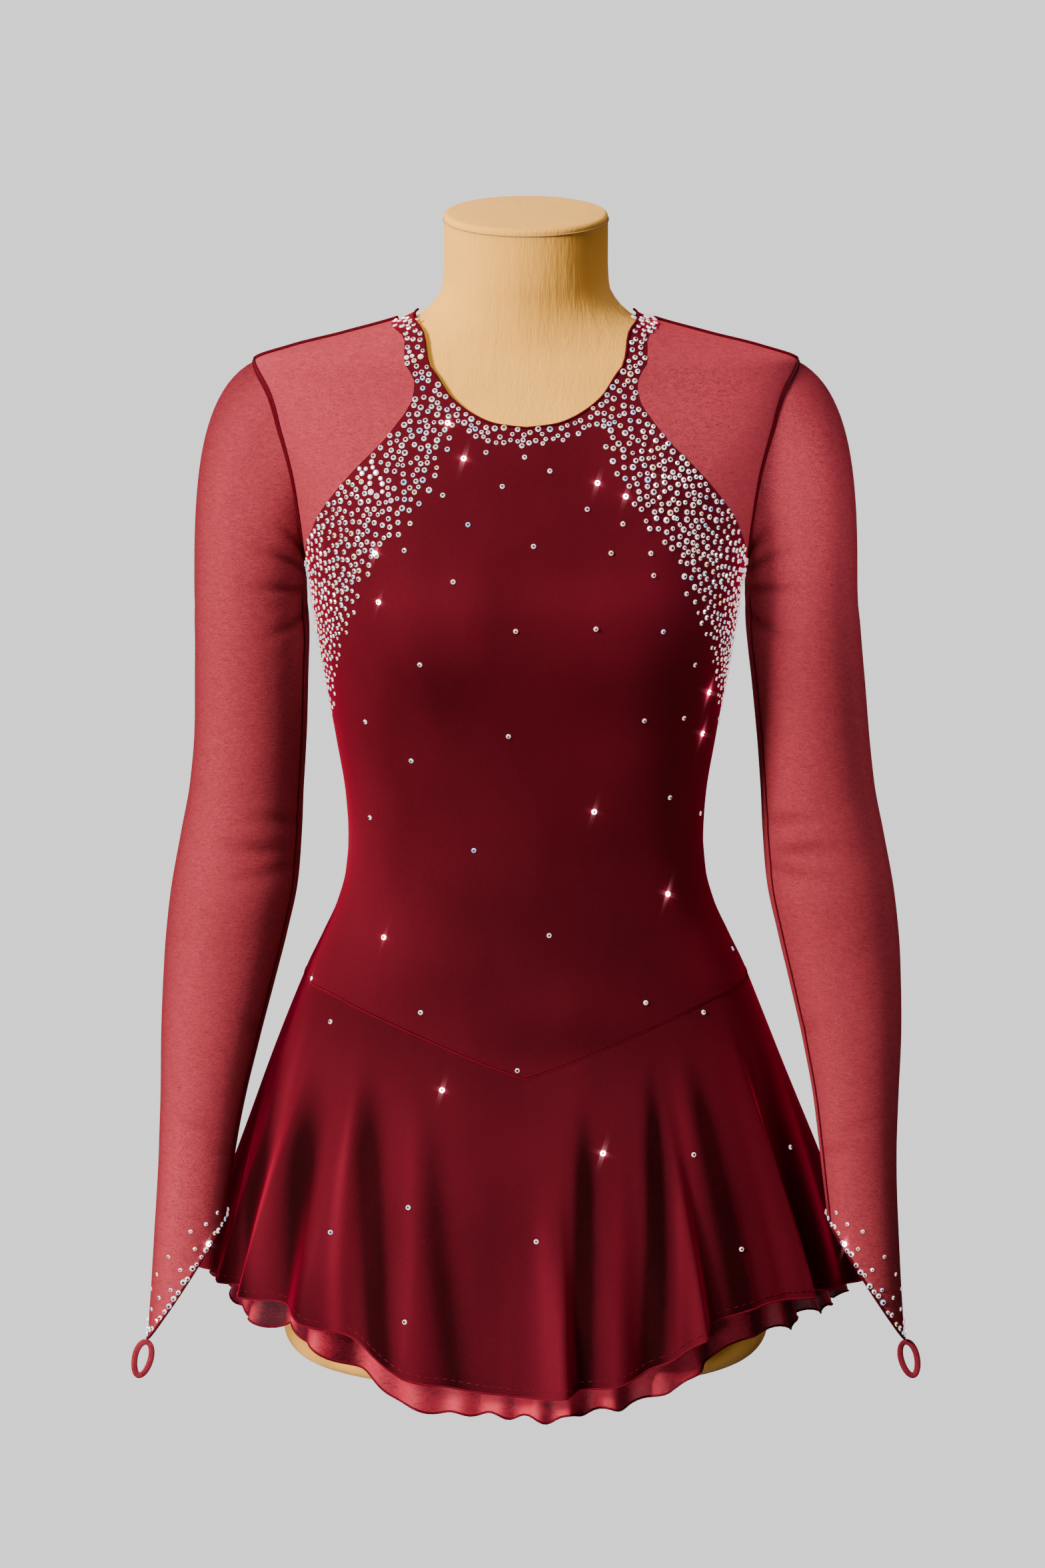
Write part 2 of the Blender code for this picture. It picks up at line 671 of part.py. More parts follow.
def cuff_loop(name, side):
    """A flat oval ring, leaning so that its top meets the sleeve's point."""
    points = []
    for depth in (-LOOP_THICK / 2, LOOP_THICK / 2):
        for half_x, half_z in (LOOP_HALF, LOOP_HOLE_HALF):
            for k in range(LOOP_SIDES):
                turn = 2 * math.pi * k / LOOP_SIDES
                x = half_x * math.cos(turn)
                z = half_z * math.sin(turn)
                leaned = (x * math.cos(LOOP_LEAN) - z * math.sin(LOOP_LEAN),
                          x * math.sin(LOOP_LEAN) + z * math.cos(LOOP_LEAN))
                points.append(Vector((side * (LOOP_MIDDLE[0] + leaned[0]),
                                      LOOP_MIDDLE[1] + depth, LOOP_MIDDLE[2] + leaned[1])))
    outer_front, hole_front, outer_back, hole_back = (LOOP_SIDES * i for i in range(4))
    faces = []
    for k in range(LOOP_SIDES):
        j = (k + 1) % LOOP_SIDES
        faces.append([outer_front + k, outer_front + j, hole_front + j, hole_front + k])
        faces.append([outer_back + j, outer_back + k, hole_back + k, hole_back + j])
        faces.append([outer_front + j, outer_front + k, outer_back + k, outer_back + j])
        faces.append([hole_front + k, hole_front + j, hole_back + j, hole_back + k])
    if side < 0:
        faces = [face[::-1] for face in faces]
    return make_object(name, points, faces, "mesh")


def fold_stations(folds):
    stations = []
    for ridge, out, start, trough, depth, trough_start in folds:
        stations.append((math.radians(ridge), out, start))
        stations.append((math.radians(trough), depth, trough_start))
    return stations


FOLD_STATIONS = fold_stations(FRONT_FOLDS + BACK_FOLDS)
FOLD_STATIONS = ([(FOLD_STATIONS[-1][0] - 2 * math.pi, *FOLD_STATIONS[-1][1:])] + FOLD_STATIONS
                 + [(FOLD_STATIONS[0][0] + 2 * math.pi, *FOLD_STATIONS[0][1:])])


def fold_out(angle, part):
    """How far the skirt stands out from its plain cone at an angle and a length part."""
    low = 0
    while low < len(FOLD_STATIONS) - 2 and FOLD_STATIONS[low + 1][0] < angle:
        low += 1
    before = FOLD_STATIONS[low]
    after = FOLD_STATIONS[low + 1]
    mix = smooth_step((angle - before[0]) / (after[0] - before[0]))
    out = before[1] + (after[1] - before[1]) * mix
    start = before[2] + (after[2] - before[2]) * mix
    return out * smooth_step((part - start) / (FOLD_FULL_AT - start)) * FOLD_GAIN


def hem_height(angle, under):
    turned = (math.degrees(angle) + 180) % 360 - 180
    return eased(HEMS, turned)[1 if under else 0]


def skirt_point(angle, part, under=False):
    """A point of a skirt layer: part 0 is the hip seam and 1 the hem."""
    top = body_point(angle, hip_height(angle))
    hem_x, hem_y = oval(angle, HEM_HALF, HEM_FRONT, HEM_BACK, HEM_SQUARE)
    hem = Vector((hem_x, hem_y, hem_height(angle, under)))
    spread = part + HEM_BULGE * part * (1 - part)
    point = top.lerp(hem, spread)
    point.z = top.z + (hem.z - top.z) * part
    out = fold_out(angle, part)
    if under:
        below = (part - UNDER_TOP) / (1 - UNDER_TOP)
        inset = UNDER_INSET_TOP + (UNDER_INSET_HEM - UNDER_INSET_TOP) * below
        out = out * (1 - UNDER_FOLD_LOSS * part) - inset - SKIRT_WALL
        out += UNDER_WAVE * part**3 * math.sin(UNDER_WAVES * angle)
    outward = Vector((math.sin(angle), -math.cos(angle), 0))
    return point + out * outward


def skirt_angles(first, last):
    """Column angles: every ridge, trough and midpoint, and more where they lie far apart."""
    marks = [first, (first + last) / 2, last]
    marks = sorted(marks + [station[0] for station in FOLD_STATIONS if first < station[0] < last])
    angles = []
    for start, end in zip(marks, marks[1:]):
        steps = max(2, math.ceil((end - start) / WIDEST_COLUMN))
        angles += [start + (end - start) * i / steps for i in range(steps)]
    return angles + [last]


def skirt(name, first, last, under, finish):
    """Half of a skirt layer between the side seams. Its side edges keep the full round's
    normals, so that front and back meet edge to edge."""
    cloth = Cloth()
    small = math.radians(0.2)
    rows = []
    for part in (UNDER_ROWS if under else OUTER_ROWS):
        length = UNDER_TOP + (1 - UNDER_TOP) * part if under else part
        row = []
        for angle in skirt_angles(first, last):
            point = skirt_point(angle, length, under)
            ahead = skirt_point(angle + small, length, under)
            behind = skirt_point(angle - small, length, under)
            higher = skirt_point(angle, max(length - 0.01, 0.0), under)
            lower = skirt_point(angle, min(length + 0.01, 1.0), under)
            normal = (ahead - behind).cross(higher - lower).normalized()
            row.append(cloth.add(point, normal))
        rows.append(row)
    cloth.grid(rows[::-1])
    cloth.draw_back(SEAM_GAP)
    return cloth.solid(name, SKIRT_WALL, finish)


def tilted(point):
    """Leans the neck's top forward."""
    blend = smooth_step((point.z - NECK_TILT_START) / (NECK_TOP - NECK_TILT_START))
    return point + Vector((0, 0, point.y * math.tan(NECK_TILT) * blend))


def form_ring(height, inset=0.0):
    """The form lies under the cloth all over, and a little lower at the shoulders."""
    start, full, fade, gone = DROP_HEIGHTS
    shoulder = smooth_step((height - start) / (full - start))
    shoulder *= smooth_step((gone - height) / (gone - fade))
    drop = Vector((0, 0, SHOULDER_DROP * shoulder))
    angles = [2 * math.pi * k / FORM_COLUMNS for k in range(FORM_COLUMNS)]
    return [tilted(body_point(angle, height, -FORM_DEPTH - inset) - drop) for angle in angles]


def stacked(name, rings):
    """A closed solid through rings from the bottom to the top, in the form's cloth."""
    points = [point for ring in rings for point in ring]
    sides = []
    for row in range(len(rings) - 1):
        low = row * FORM_COLUMNS
        high = low + FORM_COLUMNS
        for k in range(FORM_COLUMNS):
            j = (k + 1) % FORM_COLUMNS
            sides.append([low + k, low + j, high + j, high + k])
    faces = split_quads(points, sides, fuller=False)
    faces.append(list(reversed(range(FORM_COLUMNS))))
    faces.append(list(range(len(points) - FORM_COLUMNS, len(points))))
    return make_object(name, points, faces, "jersey")


def dress_form():
    """The form, smooth and whole: a flat base, a rounded base edge and an open neck top."""
    rings = []
    for step in range(BASE_ROUND_STEPS + 1):
        turn = QUARTER * step / BASE_ROUND_STEPS
        inset = BASE_ROUND * (1 - math.sin(turn))
        rise = BASE_ROUND * (1 - math.cos(turn))
        rings.append([Vector((point.x, point.y, rise))
                      for point in form_ring(rise, inset)])
    rings += [form_ring(height) for height in FORM_RINGS]
    rings.append(form_ring(NECK_TOP))
    return stacked("dress_form", rings)


def neck_cap():
    """A thin cloth-covered disc on the neck, with a rounded rim."""
    start = NECK_TOP + SEAM_GAP
    levels = ((0.0, 0.0), (CAP_THICK - CAP_ROUND, 0.0),
              (CAP_THICK - CAP_ROUND * 0.3, CAP_ROUND * 0.3), (CAP_THICK, CAP_ROUND))
    rings = [[point + Vector((0, 0, start + rise - NECK_TOP))
              for point in form_ring(NECK_TOP, inset)] for rise, inset in levels]
    return stacked("neck_cap", rings)


def clear_scene():
    for old in list(bpy.data.objects):
        bpy.data.objects.remove(old, do_unlink=True)


def main():
    clear_scene()
    front = HalfSeams(False)
    back = HalfSeams(True)
    bodice("bodice_front", front, False)
    bodice("bodice_back", back, True)
    for word, side in (("left", -1), ("right", 1)):
        yoke("yoke_front_" + word, front, side, False)
        yoke("yoke_back_" + word, back, side, True)
        sleeve("sleeve_" + word, front, back, side)
        cuff_loop("cuff_loop_" + word, side)
    skirt("skirt_outer_front", -QUARTER, QUARTER, False, "velvet")
    skirt("skirt_outer_back", QUARTER, 3 * QUARTER, False, "velvet")
    skirt("skirt_under_front", -QUARTER, QUARTER, True, "sheer")
    skirt("skirt_under_back", QUARTER, 3 * QUARTER, True, "sheer")
    dress_form()
    neck_cap()


main()
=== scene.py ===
# %% [markdown]
# # A figure skating dress on a dress form
#
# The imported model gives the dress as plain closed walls. This lesson dresses it: each wall is
# replaced by a finer sheet on the same surface, with its own cloth, seams, hems and stones.
# Everything is in metres, +Z is up, and the dress faces -Y.

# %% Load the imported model
import json
import math
import random

import bpy
import numpy as np
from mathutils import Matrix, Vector

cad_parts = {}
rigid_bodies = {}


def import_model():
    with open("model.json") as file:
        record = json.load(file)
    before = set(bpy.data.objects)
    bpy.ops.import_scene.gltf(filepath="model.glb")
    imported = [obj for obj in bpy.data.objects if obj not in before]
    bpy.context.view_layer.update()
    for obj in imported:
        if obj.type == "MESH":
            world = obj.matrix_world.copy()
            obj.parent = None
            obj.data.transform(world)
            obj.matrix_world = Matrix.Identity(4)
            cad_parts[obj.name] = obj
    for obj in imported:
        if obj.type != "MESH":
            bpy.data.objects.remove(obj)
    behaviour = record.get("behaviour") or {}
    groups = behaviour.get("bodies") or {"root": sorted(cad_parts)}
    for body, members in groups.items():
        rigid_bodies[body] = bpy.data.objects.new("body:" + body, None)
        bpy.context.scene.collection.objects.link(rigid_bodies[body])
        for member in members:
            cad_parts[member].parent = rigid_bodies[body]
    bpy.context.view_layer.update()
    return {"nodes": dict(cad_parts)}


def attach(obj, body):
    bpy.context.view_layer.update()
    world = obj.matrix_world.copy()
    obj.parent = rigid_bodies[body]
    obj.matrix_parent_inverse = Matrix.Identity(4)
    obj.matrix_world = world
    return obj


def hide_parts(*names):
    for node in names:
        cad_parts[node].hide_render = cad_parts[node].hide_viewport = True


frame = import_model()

print("nodes in the packed model:", len(frame["nodes"]))

# %% [markdown]
# ## The body's surface
#
# A garment's shape comes from the figure inside it. The figure is a stack of rounded
# sections, each with a half width, a depth to the front and to the back, and a squareness.
# A table of sections, read smoothly, is easier to correct than a sculpted mesh, because one
# number moves one place.

# %% The body's sections
# Height, half width, depth to the front, depth to the back, squareness
BODY = (
    (0.000, 0.1790, 0.1100, 0.1120, 2.2),
    (0.060, 0.1805, 0.1130, 0.1170, 2.2),
    (0.160, 0.1780, 0.1120, 0.1200, 2.2),
    (0.210, 0.1720, 0.1080, 0.1150, 2.2),
    (0.250, 0.1660, 0.1040, 0.1070, 2.2),
    (0.280, 0.1600, 0.1000, 0.0990, 2.2),
    (0.311, 0.1460, 0.0940, 0.0900, 2.2),
    (0.335, 0.1350, 0.0890, 0.0840, 2.2),
    (0.359, 0.1286, 0.0850, 0.0800, 2.2),
    (0.385, 0.1267, 0.0820, 0.0780, 2.2),
    (0.410, 0.1280, 0.0830, 0.0790, 2.2),
    (0.456, 0.1350, 0.0900, 0.0830, 2.2),
    (0.494, 0.1415, 0.1010, 0.0900, 2.2),
    (0.530, 0.1475, 0.1115, 0.0960, 2.2),
    (0.560, 0.1515, 0.1160, 0.0990, 2.2),
    (0.590, 0.1570, 0.1145, 0.1000, 2.2),
    (0.620, 0.1640, 0.1075, 0.0995, 2.2),
    (0.650, 0.1730, 0.0960, 0.0965, 2.2),
    (0.680, 0.1830, 0.0810, 0.0895, 2.1),
    (0.700, 0.1880, 0.0690, 0.0820, 2.0),
    (0.719, 0.1895, 0.0610, 0.0740, 1.8),
    (0.729, 0.1630, 0.0570, 0.0690, 1.7),
    (0.738, 0.1270, 0.0550, 0.0660, 1.7),
    (0.752, 0.0800, 0.0540, 0.0620, 1.8),
    (0.761, 0.0670, 0.0545, 0.0590, 1.9),
    (0.772, 0.0605, 0.0560, 0.0575, 2.0),
    (0.790, 0.0595, 0.0565, 0.0570, 2.0),
    (0.840, 0.0595, 0.0565, 0.0570, 2.0),
)
WAIST_HEIGHT = 0.385
RIDGE_LOWEST, RIDGE_HIGHEST = 0.7195, 0.800
QUARTER = math.pi / 2
FULL_TURN = 2 * math.pi
SIDES = (("left", -1), ("right", 1))


def eased(rows, value):
    """Reads a table at a value of its first column, smoothly and with no overshoot."""
    last = len(rows) - 1
    value = min(max(value, rows[0][0]), rows[last][0])
    low = 0
    while low < last - 1 and rows[low + 1][0] < value:
        low += 1
    step = rows[low + 1][0] - rows[low][0]
    part = (value - rows[low][0]) / step

    def slope(index, column):
        if index in (0, last):
            near = min(index, last - 1)
            rise = rows[near + 1][column] - rows[near][column]
            return rise / (rows[near + 1][0] - rows[near][0])
        before = rows[index][0] - rows[index - 1][0]
        after = rows[index + 1][0] - rows[index][0]
        rise_before = (rows[index][column] - rows[index - 1][column]) / before
        rise_after = (rows[index + 1][column] - rows[index][column]) / after
        if rise_before * rise_after <= 0:
            return 0.0
        weight_before = 2 * after + before
        weight_after = after + 2 * before
        return ((weight_before + weight_after)
                / (weight_before / rise_before + weight_after / rise_after))

    values = []
    for column in range(1, len(rows[0])):
        start = rows[low][column]
        end = rows[low + 1][column]
        cubic = (2 * part**3 - 3 * part**2 + 1) * start + (3 * part**2 - 2 * part**3) * end
        cubic += (part**3 - 2 * part**2 + part) * step * slope(low, column)
        cubic += (part**3 - part**2) * step * slope(low + 1, column)
        values.append(cubic)
    return values


def smooth_step(value):
    value = min(max(value, 0.0), 1.0)
    return value * value * (3 - 2 * value)


def round_angles(count):
    return [FULL_TURN * k / count for k in range(count)]


def between(start, end, part):
    return tuple(a + (b - a) * part for a, b in zip(start, end))


# %% Points and directions on the body
def oval(angle, half, front, back, square):
    """A point on a rounded section: angle 0 is the front, a quarter turn is +X."""
    across = math.sin(angle)
    along = -math.cos(angle)
    reach = (abs(across) ** square + abs(along) ** square) ** (-1 / square)
    return half * reach * across, (front if along < 0 else back) * reach * along


def body_outline(angle, height):
    x, y = oval(angle, *eased(BODY, height))
    return Vector((x, y, height))


def body_normal(angle, height):
    small = 0.0008
    round_way = body_outline(angle + small * 5, height) - body_outline(angle - small * 5, height)
    up_way = body_outline(angle, height + small) - body_outline(angle, height - small)
    return round_way.cross(up_way).normalized()


def body_point(angle, height, lift=0.0):
    return body_outline(angle, height) + lift * body_normal(angle, height)


def angle_across(x, height, behind=False):
    """The angle at which the body surface is x from the middle."""
    half, _, _, square = eased(BODY, height)
    across = min(abs(x) / half, 1.0)
    along = (1 - across**square) ** (1 / square)
    angle = math.atan2(across, along)
    angle = math.pi - angle if behind else angle
    return -angle if x < 0 else angle


def angle_along(y, height):
    """The angle at which the right half of the body surface is at depth y."""
    _, front, back, square = eased(BODY, height)
    along = min(abs(y) / (front if y < 0 else back), 1.0)
    across = (1 - along**square) ** (1 / square)
    angle = math.atan2(across, along)
    return angle if y < 0 else math.pi - angle


def ridge_height(x):
    """The height at which the shoulder ridge is x from the middle."""
    low, high = RIDGE_LOWEST, RIDGE_HIGHEST
    for _ in range(40):
        middle = (low + high) / 2
        if eased(BODY, middle)[0] > x:
            low = middle
        else:
            high = middle
    return (low + high) / 2


waist = [body_outline(angle, WAIST_HEIGHT) for angle in round_angles(360)]
print("waist round the body: %.0f mm" % (1000 * sum(
    (after - before).length for before, after in zip(waist, waist[1:] + waist[:1]))))

# %% [markdown]
# ## The seams
#
# A pattern cutter draws seams on the figure: the hip seam with its V point, the halter edge
# from the underarm up to the neck strap, the neckline and the armhole. Each seam is a short
# table of distance from the middle and height, and a smooth curve runs through its rows.

# %% Seam tables and curves
# Distance from the middle, height
HIP_SEAM_FRONT = ((0.000, 0.2305), (0.027, 0.2400), (0.0815, 0.2607), (0.1150, 0.2725),
                  (0.1390, 0.2800), (0.1590, 0.2835))
HIP_SEAM_BACK = ((0.000, 0.2600), (0.050, 0.2640), (0.1000, 0.2730), (0.1390, 0.2810),
                 (0.1590, 0.2835))
# Height, how far forward and how far back the armhole's edge lies
ARMHOLE = (
    (0.5720, 0.000, 0.000),
    (0.5800, 0.013, 0.014),
    (0.5970, 0.026, 0.028),
    (0.6200, 0.033, 0.037),
    (0.6460, 0.036, 0.042),
    (0.6725, 0.031, 0.038),
    (0.6985, 0.021, 0.026),
    (0.7190, 0.000, 0.000),
)
HALTER_FRONT = ((0.1500, 0.6000), (0.1432, 0.6155), (0.1310, 0.6325), (0.1148, 0.6510),
                (0.0980, 0.6675), (0.0850, 0.6835), (0.0785, 0.6930), (0.0760, 0.7020),
                (0.0782, 0.7135), (0.0825, 0.7280), (0.0860, 0.7395))
HALTER_BACK = ((0.1500, 0.6000), (0.1425, 0.6180), (0.1310, 0.6370), (0.1160, 0.6580),
               (0.1010, 0.6790), (0.0900, 0.6990), (0.0850, 0.7130), (0.0845, 0.7260),
               (0.0860, 0.7395))
# The row of each table where the strap begins, in front and behind
HALTER_FEET = (8, 7)
HALTER_END = 0.0885
NECKLINE_FRONT = ((0.0000, 0.6780), (0.0226, 0.6810), (0.0400, 0.6890), (0.0534, 0.7000),
                  (0.0624, 0.7135), (0.0685, 0.7290), (0.0722, 0.7430))
NECKLINE_BACK = ((0.0000, 0.7180), (0.0300, 0.7205), (0.0520, 0.7290), (0.0660, 0.7410))
NECKLINE_FEET = (3, 2)
NECKLINE_END = 0.0750
UNDERARM_STEPS = 4
HALTER_STEPS = 20
STRAP_STEPS = 16
STRAP_WIDTH_STEPS = 6
NECKLINE_STEPS = 14
RIDGE_CROWDING = 1.35


def spaced(rows, first, last, steps, crowding=1.0):
    """Points at even lengths on a smooth curve through rows of angle and height."""
    def on_curve(place):
        low = min(int(place), len(rows) - 2)
        part = place - low
        known = [rows[min(max(low + shift, 0), len(rows) - 1)] for shift in (-1, 0, 1, 2)]
        result = []
        for p0, p1, p2, p3 in zip(*known):
            result.append(p1 + 0.5 * part * (p2 - p0 + part * (2 * p0 - 5 * p1 + 4 * p2 - p3
                          + part * (3 * (p1 - p2) + p3 - p0))))
        return tuple(result)

    fine = 60 * (last - first)
    places = [on_curve(first + (last - first) * i / fine) for i in range(fine + 1)]
    lengths = [0.0]
    for start, end in zip(places, places[1:]):
        lengths.append(lengths[-1] + (body_outline(*end) - body_outline(*start)).length)
    wanted = [lengths[-1] * (1 - (1 - i / steps) ** crowding) for i in range(steps + 1)]
    return [places[int(np.argmin(np.abs(np.array(lengths) - length)))] for length in wanted]


def armhole_rows(behind):
    rows = []
    for height, front, back in ARMHOLE:
        depth = back if behind else -front
        rows.append((QUARTER if depth == 0 else angle_along(depth, height), height))
    return rows


def edge_rows(table, end, behind):
    rows = [(angle_across(x, height, behind), height) for x, height in table]
    return rows + [(QUARTER, ridge_height(end))]


class HalfSeams:
    """The right half's seam points, front or back, as rows of angle and height."""

    def __init__(self, behind):
        armhole = armhole_rows(behind)
        self.underarm = spaced(armhole, 0, 1, UNDERARM_STEPS)
        self.armhole = spaced(armhole, 1, len(armhole) - 1, HALTER_STEPS + STRAP_STEPS,
                              RIDGE_CROWDING)
        halter = [armhole[1]]
        halter += edge_rows(HALTER_BACK if behind else HALTER_FRONT, HALTER_END, behind)
        foot = HALTER_FEET[behind]
        self.halter = spaced(halter, 0, foot, HALTER_STEPS)
        self.strap_outer = spaced(halter, foot, len(halter) - 1, STRAP_STEPS, RIDGE_CROWDING)
        neckline = edge_rows(NECKLINE_BACK if behind else NECKLINE_FRONT, NECKLINE_END, behind)
        foot = NECKLINE_FEET[behind]
        self.neckline = spaced(neckline, 0, foot, NECKLINE_STEPS)
        self.strap_inner = spaced(neckline, foot, len(neckline) - 1, STRAP_STEPS, RIDGE_CROWDING)
        self.whole_armhole = self.underarm[:-1] + self.armhole
        self.whole_halter = self.halter + self.strap_outer[1:]
        self.whole_neckline = self.neckline + self.strap_inner[1:]


def hip_rows(table):
    rows = [(angle_across(x, height), height) for x, height in table[:-1]]
    return rows + [(QUARTER, table[-1][1])]


HIP_ROWS_FRONT = hip_rows(HIP_SEAM_FRONT)
HIP_ROWS_BACK = hip_rows(HIP_SEAM_BACK)


def hip_height(angle):
    """The hip seam's height at an angle all round the body."""
    turned = abs((angle + math.pi) % FULL_TURN - math.pi)
    if turned > QUARTER:
        return eased(HIP_ROWS_BACK, math.pi - turned)[0]
    return eased(HIP_ROWS_FRONT, turned)[0]


front_seams = HalfSeams(False)
back_seams = HalfSeams(True)
print("points on the front halter edge:", len(front_seams.halter))

# %% [markdown]
# ## Grain, nap and knit as shader groups
#
# Cloth is never one flat colour. Velvet has brushed patches, mesh has a crinkled crepe
# surface and jersey has fine ribs. The patterns are built once as node groups and set with
# each finish's own values. They use object coordinates, in metres, so that a pattern keeps
# its size on every piece and needs no unwrapping.

# %% Helpers that build nodes
def add_node(tree, kind, *values, setting=(), **named):
    """A node whose inputs, in order or by name, each get a value or a socket to link."""
    node = tree.nodes.new(kind)
    for name, value in dict(setting).items():
        setattr(node, name, value)
    given = list(zip(node.inputs, values))
    given += [(node.inputs[name.replace("_", " ")], value) for name, value in named.items()]
    for socket, value in given:
        if isinstance(value, bpy.types.NodeSocket):
            tree.links.new(value, socket)
        else:
            socket.default_value = value
    return node


def add_math(tree, operation, first, second):
    return add_node(tree, "ShaderNodeMath", first, second,
                    setting={"operation": operation}).outputs[0]


def object_place(group, stretch=(1.0, 1.0, 1.0)):
    place = add_node(group, "ShaderNodeTexCoord").outputs["Object"]
    return add_node(group, "ShaderNodeMapping", Vector=place, Scale=stretch).outputs["Vector"]


def pattern_group(name, scales, patterns, extra=()):
    """A shader group with a noise mask for each row of patterns, and scales as its inputs.

    A row is the mask's name, how the pattern is stretched, its scale as a number or as the
    name of an input, its detail, roughness and distortion.
    """
    group = bpy.data.node_groups.new(name, "ShaderNodeTree")
    for way, sockets in (("INPUT", scales), ("OUTPUT", [row[0] for row in patterns] + [*extra])):
        for socket in sockets:
            group.interface.new_socket(name=socket, in_out=way, socket_type="NodeSocketFloat")
    start = group.nodes.new("NodeGroupInput")
    end = group.nodes.new("NodeGroupOutput")
    for output, stretch, scale, detail, roughness, distortion in patterns:
        noise = add_node(group, "ShaderNodeTexNoise", Vector=object_place(group, stretch),
                         Scale=start.outputs[scale] if isinstance(scale, str) else scale,
                         Detail=detail, Roughness=roughness, Distortion=distortion)
        group.links.new(noise.outputs["Fac"], end.inputs[output])
    return group, start, end


# %% The cloth groups
NAP_GROUP, _, _ = pattern_group("brushed_nap", ("Patch Scale", "Pile Scale"), (
    ("Patches", (1.0, 1.0, 0.45), "Patch Scale", 3.0, 0.55, 0.3),
    ("Pile", (1.0, 1.0, 0.35), "Pile Scale", 2.0, 0.7, 0.0),
))
KNIT_GROUP, _, _ = pattern_group("jersey_knit", ("Rib Scale", "Pull Scale"), (
    ("Ribs", (1.0, 1.0, 0.16), "Rib Scale", 3.0, 0.6, 0.2),
    ("Pulls", (1.0, 1.0, 0.10), "Pull Scale", 3.0, 0.5, 0.4),
    ("Clouds", (1.0, 1.0, 1.0), 9.0, 2.0, 0.5, 0.0),
))
CREPE_GROUP, start, end = pattern_group("crepe_mesh", ("Crinkle Scale", "Hole Scale"), (
    ("Crinkle", (0.55, 0.55, 1.5), "Crinkle Scale", 3.0, 0.55, 1.3),
), extra=("Holes",))
# The tiny open holes between the threads of mesh and sheer cloth
cells = add_node(CREPE_GROUP, "ShaderNodeTexVoronoi", setting={"feature": "DISTANCE_TO_EDGE"},
                 Vector=object_place(CREPE_GROUP), Scale=start.outputs["Hole Scale"])
CREPE_GROUP.links.new(add_math(CREPE_GROUP, "GREATER_THAN", cells.outputs["Distance"], 0.22),
                      end.inputs["Holes"])
print("shader groups:", NAP_GROUP.name, CREPE_GROUP.name, KNIT_GROUP.name)

# %% [markdown]
# ## The finishes
#
# The Principled shader stays in each material, so that its constant values export as they
# are. Wine velvet is dark when seen straight on and glows where its pile is seen edge-on,
# which is what the sheen layer is for. Mesh and sheer cloth let some light through by alpha.

# %% Helpers for a material
def start_material(name, roughness, sheen=0.0, sheen_tint=(1.0, 1.0, 1.0), sheen_roughness=0.5,
                   gloss=0.08):
    made = bpy.data.materials.new(name)
    made.use_nodes = True
    shader = made.node_tree.nodes["Principled BSDF"]
    for socket, value in (("Roughness", roughness), ("Sheen Weight", sheen),
                          ("Sheen Tint", (*sheen_tint, 1.0)),
                          ("Sheen Roughness", sheen_roughness), ("Specular IOR Level", gloss)):
        shader.inputs[socket].default_value = value
    return made, made.node_tree, shader


def place_group(tree, group, **values):
    return add_node(tree, "ShaderNodeGroup", setting={"node_tree": group}, **values).outputs


def blend_colours(tree, mask, dark, light):
    """Mixes two colours by a mask between 0 and 1. Each is three numbers or a socket."""
    dark, light = [(*colour, 1.0) if isinstance(colour, tuple) else colour
                   for colour in (dark, light)]
    return add_node(tree, "ShaderNodeMix", setting={"data_type": "RGBA"}, Factor=mask, A=dark,
                    B=light).outputs["Result"]


def spread(tree, value, low, high, to_low=0.0, to_high=1.0):
    """Stretches a value's range onto another, and stops at its ends."""
    return add_node(tree, "ShaderNodeMapRange", value, low, high, to_low,
                    to_high).outputs["Result"]


def painted_light_value(tree):
    """The painted light and shade, as stored on each piece."""
    return add_node(tree, "ShaderNodeAttribute", setting={"attribute_name": "nap_and_painted_light"}).outputs["Fac"]


def cover(tree, shader, colour, relief, strength, distance):
    """Gives the shader its colour and a bump."""
    tree.links.new(colour, shader.inputs["Base Color"])
    bump = add_node(tree, "ShaderNodeBump", Strength=strength, Distance=distance, Height=relief)
    tree.links.new(bump.outputs["Normal"], shader.inputs["Normal"])


def open_up(tree, shader, holes, dense, open_share):
    """An open cloth covers more of what is behind it where it is seen edge-on."""
    facing = add_node(tree, "ShaderNodeLayerWeight", Blend=0.42).outputs["Facing"]
    total = add_math(tree, "ADD", spread(tree, holes, 0.0, 1.0, dense, open_share),
                     add_math(tree, "MULTIPLY", facing, 0.8))
    tree.links.new(add_math(tree, "MINIMUM", total, 1.0), shader.inputs["Alpha"])


# %% Velvet, mesh, sheer cloth, jersey and trims
def velvet_finish():
    made, tree, shader = start_material("wine_velvet", 0.70, 0.8, (0.90, 0.006, 0.07), 0.42, 0.0)
    nap_and_painted_light = place_group(tree, NAP_GROUP, Patch_Scale=13.0, Pile_Scale=1100.0)
    # Painted light and shade: the velvet runs from its dark to its light wine by the value stored
    # on each piece, with the brushed patches and pile added as the cloth's own uneven tone.
    tone_and_painted_light = add_math(tree, "ADD", painted_light_value(tree),
                   spread(tree, nap_and_painted_light["Patches"], 0.30, 0.70, -0.08, 0.08))
    tone_and_painted_light = add_math(tree, "ADD", tone_and_painted_light, spread(tree, nap_and_painted_light["Pile"], 0.3, 0.7, -0.05, 0.05))
    colour = blend_colours(tree, spread(tree, tone_and_painted_light, 0.0, 1.0),
                           (0.006, 0.0012, 0.0013), (0.124, 0.0072, 0.0152))
    cover(tree, shader, colour, nap_and_painted_light["Pile"], 0.30, 0.0004)
    return made


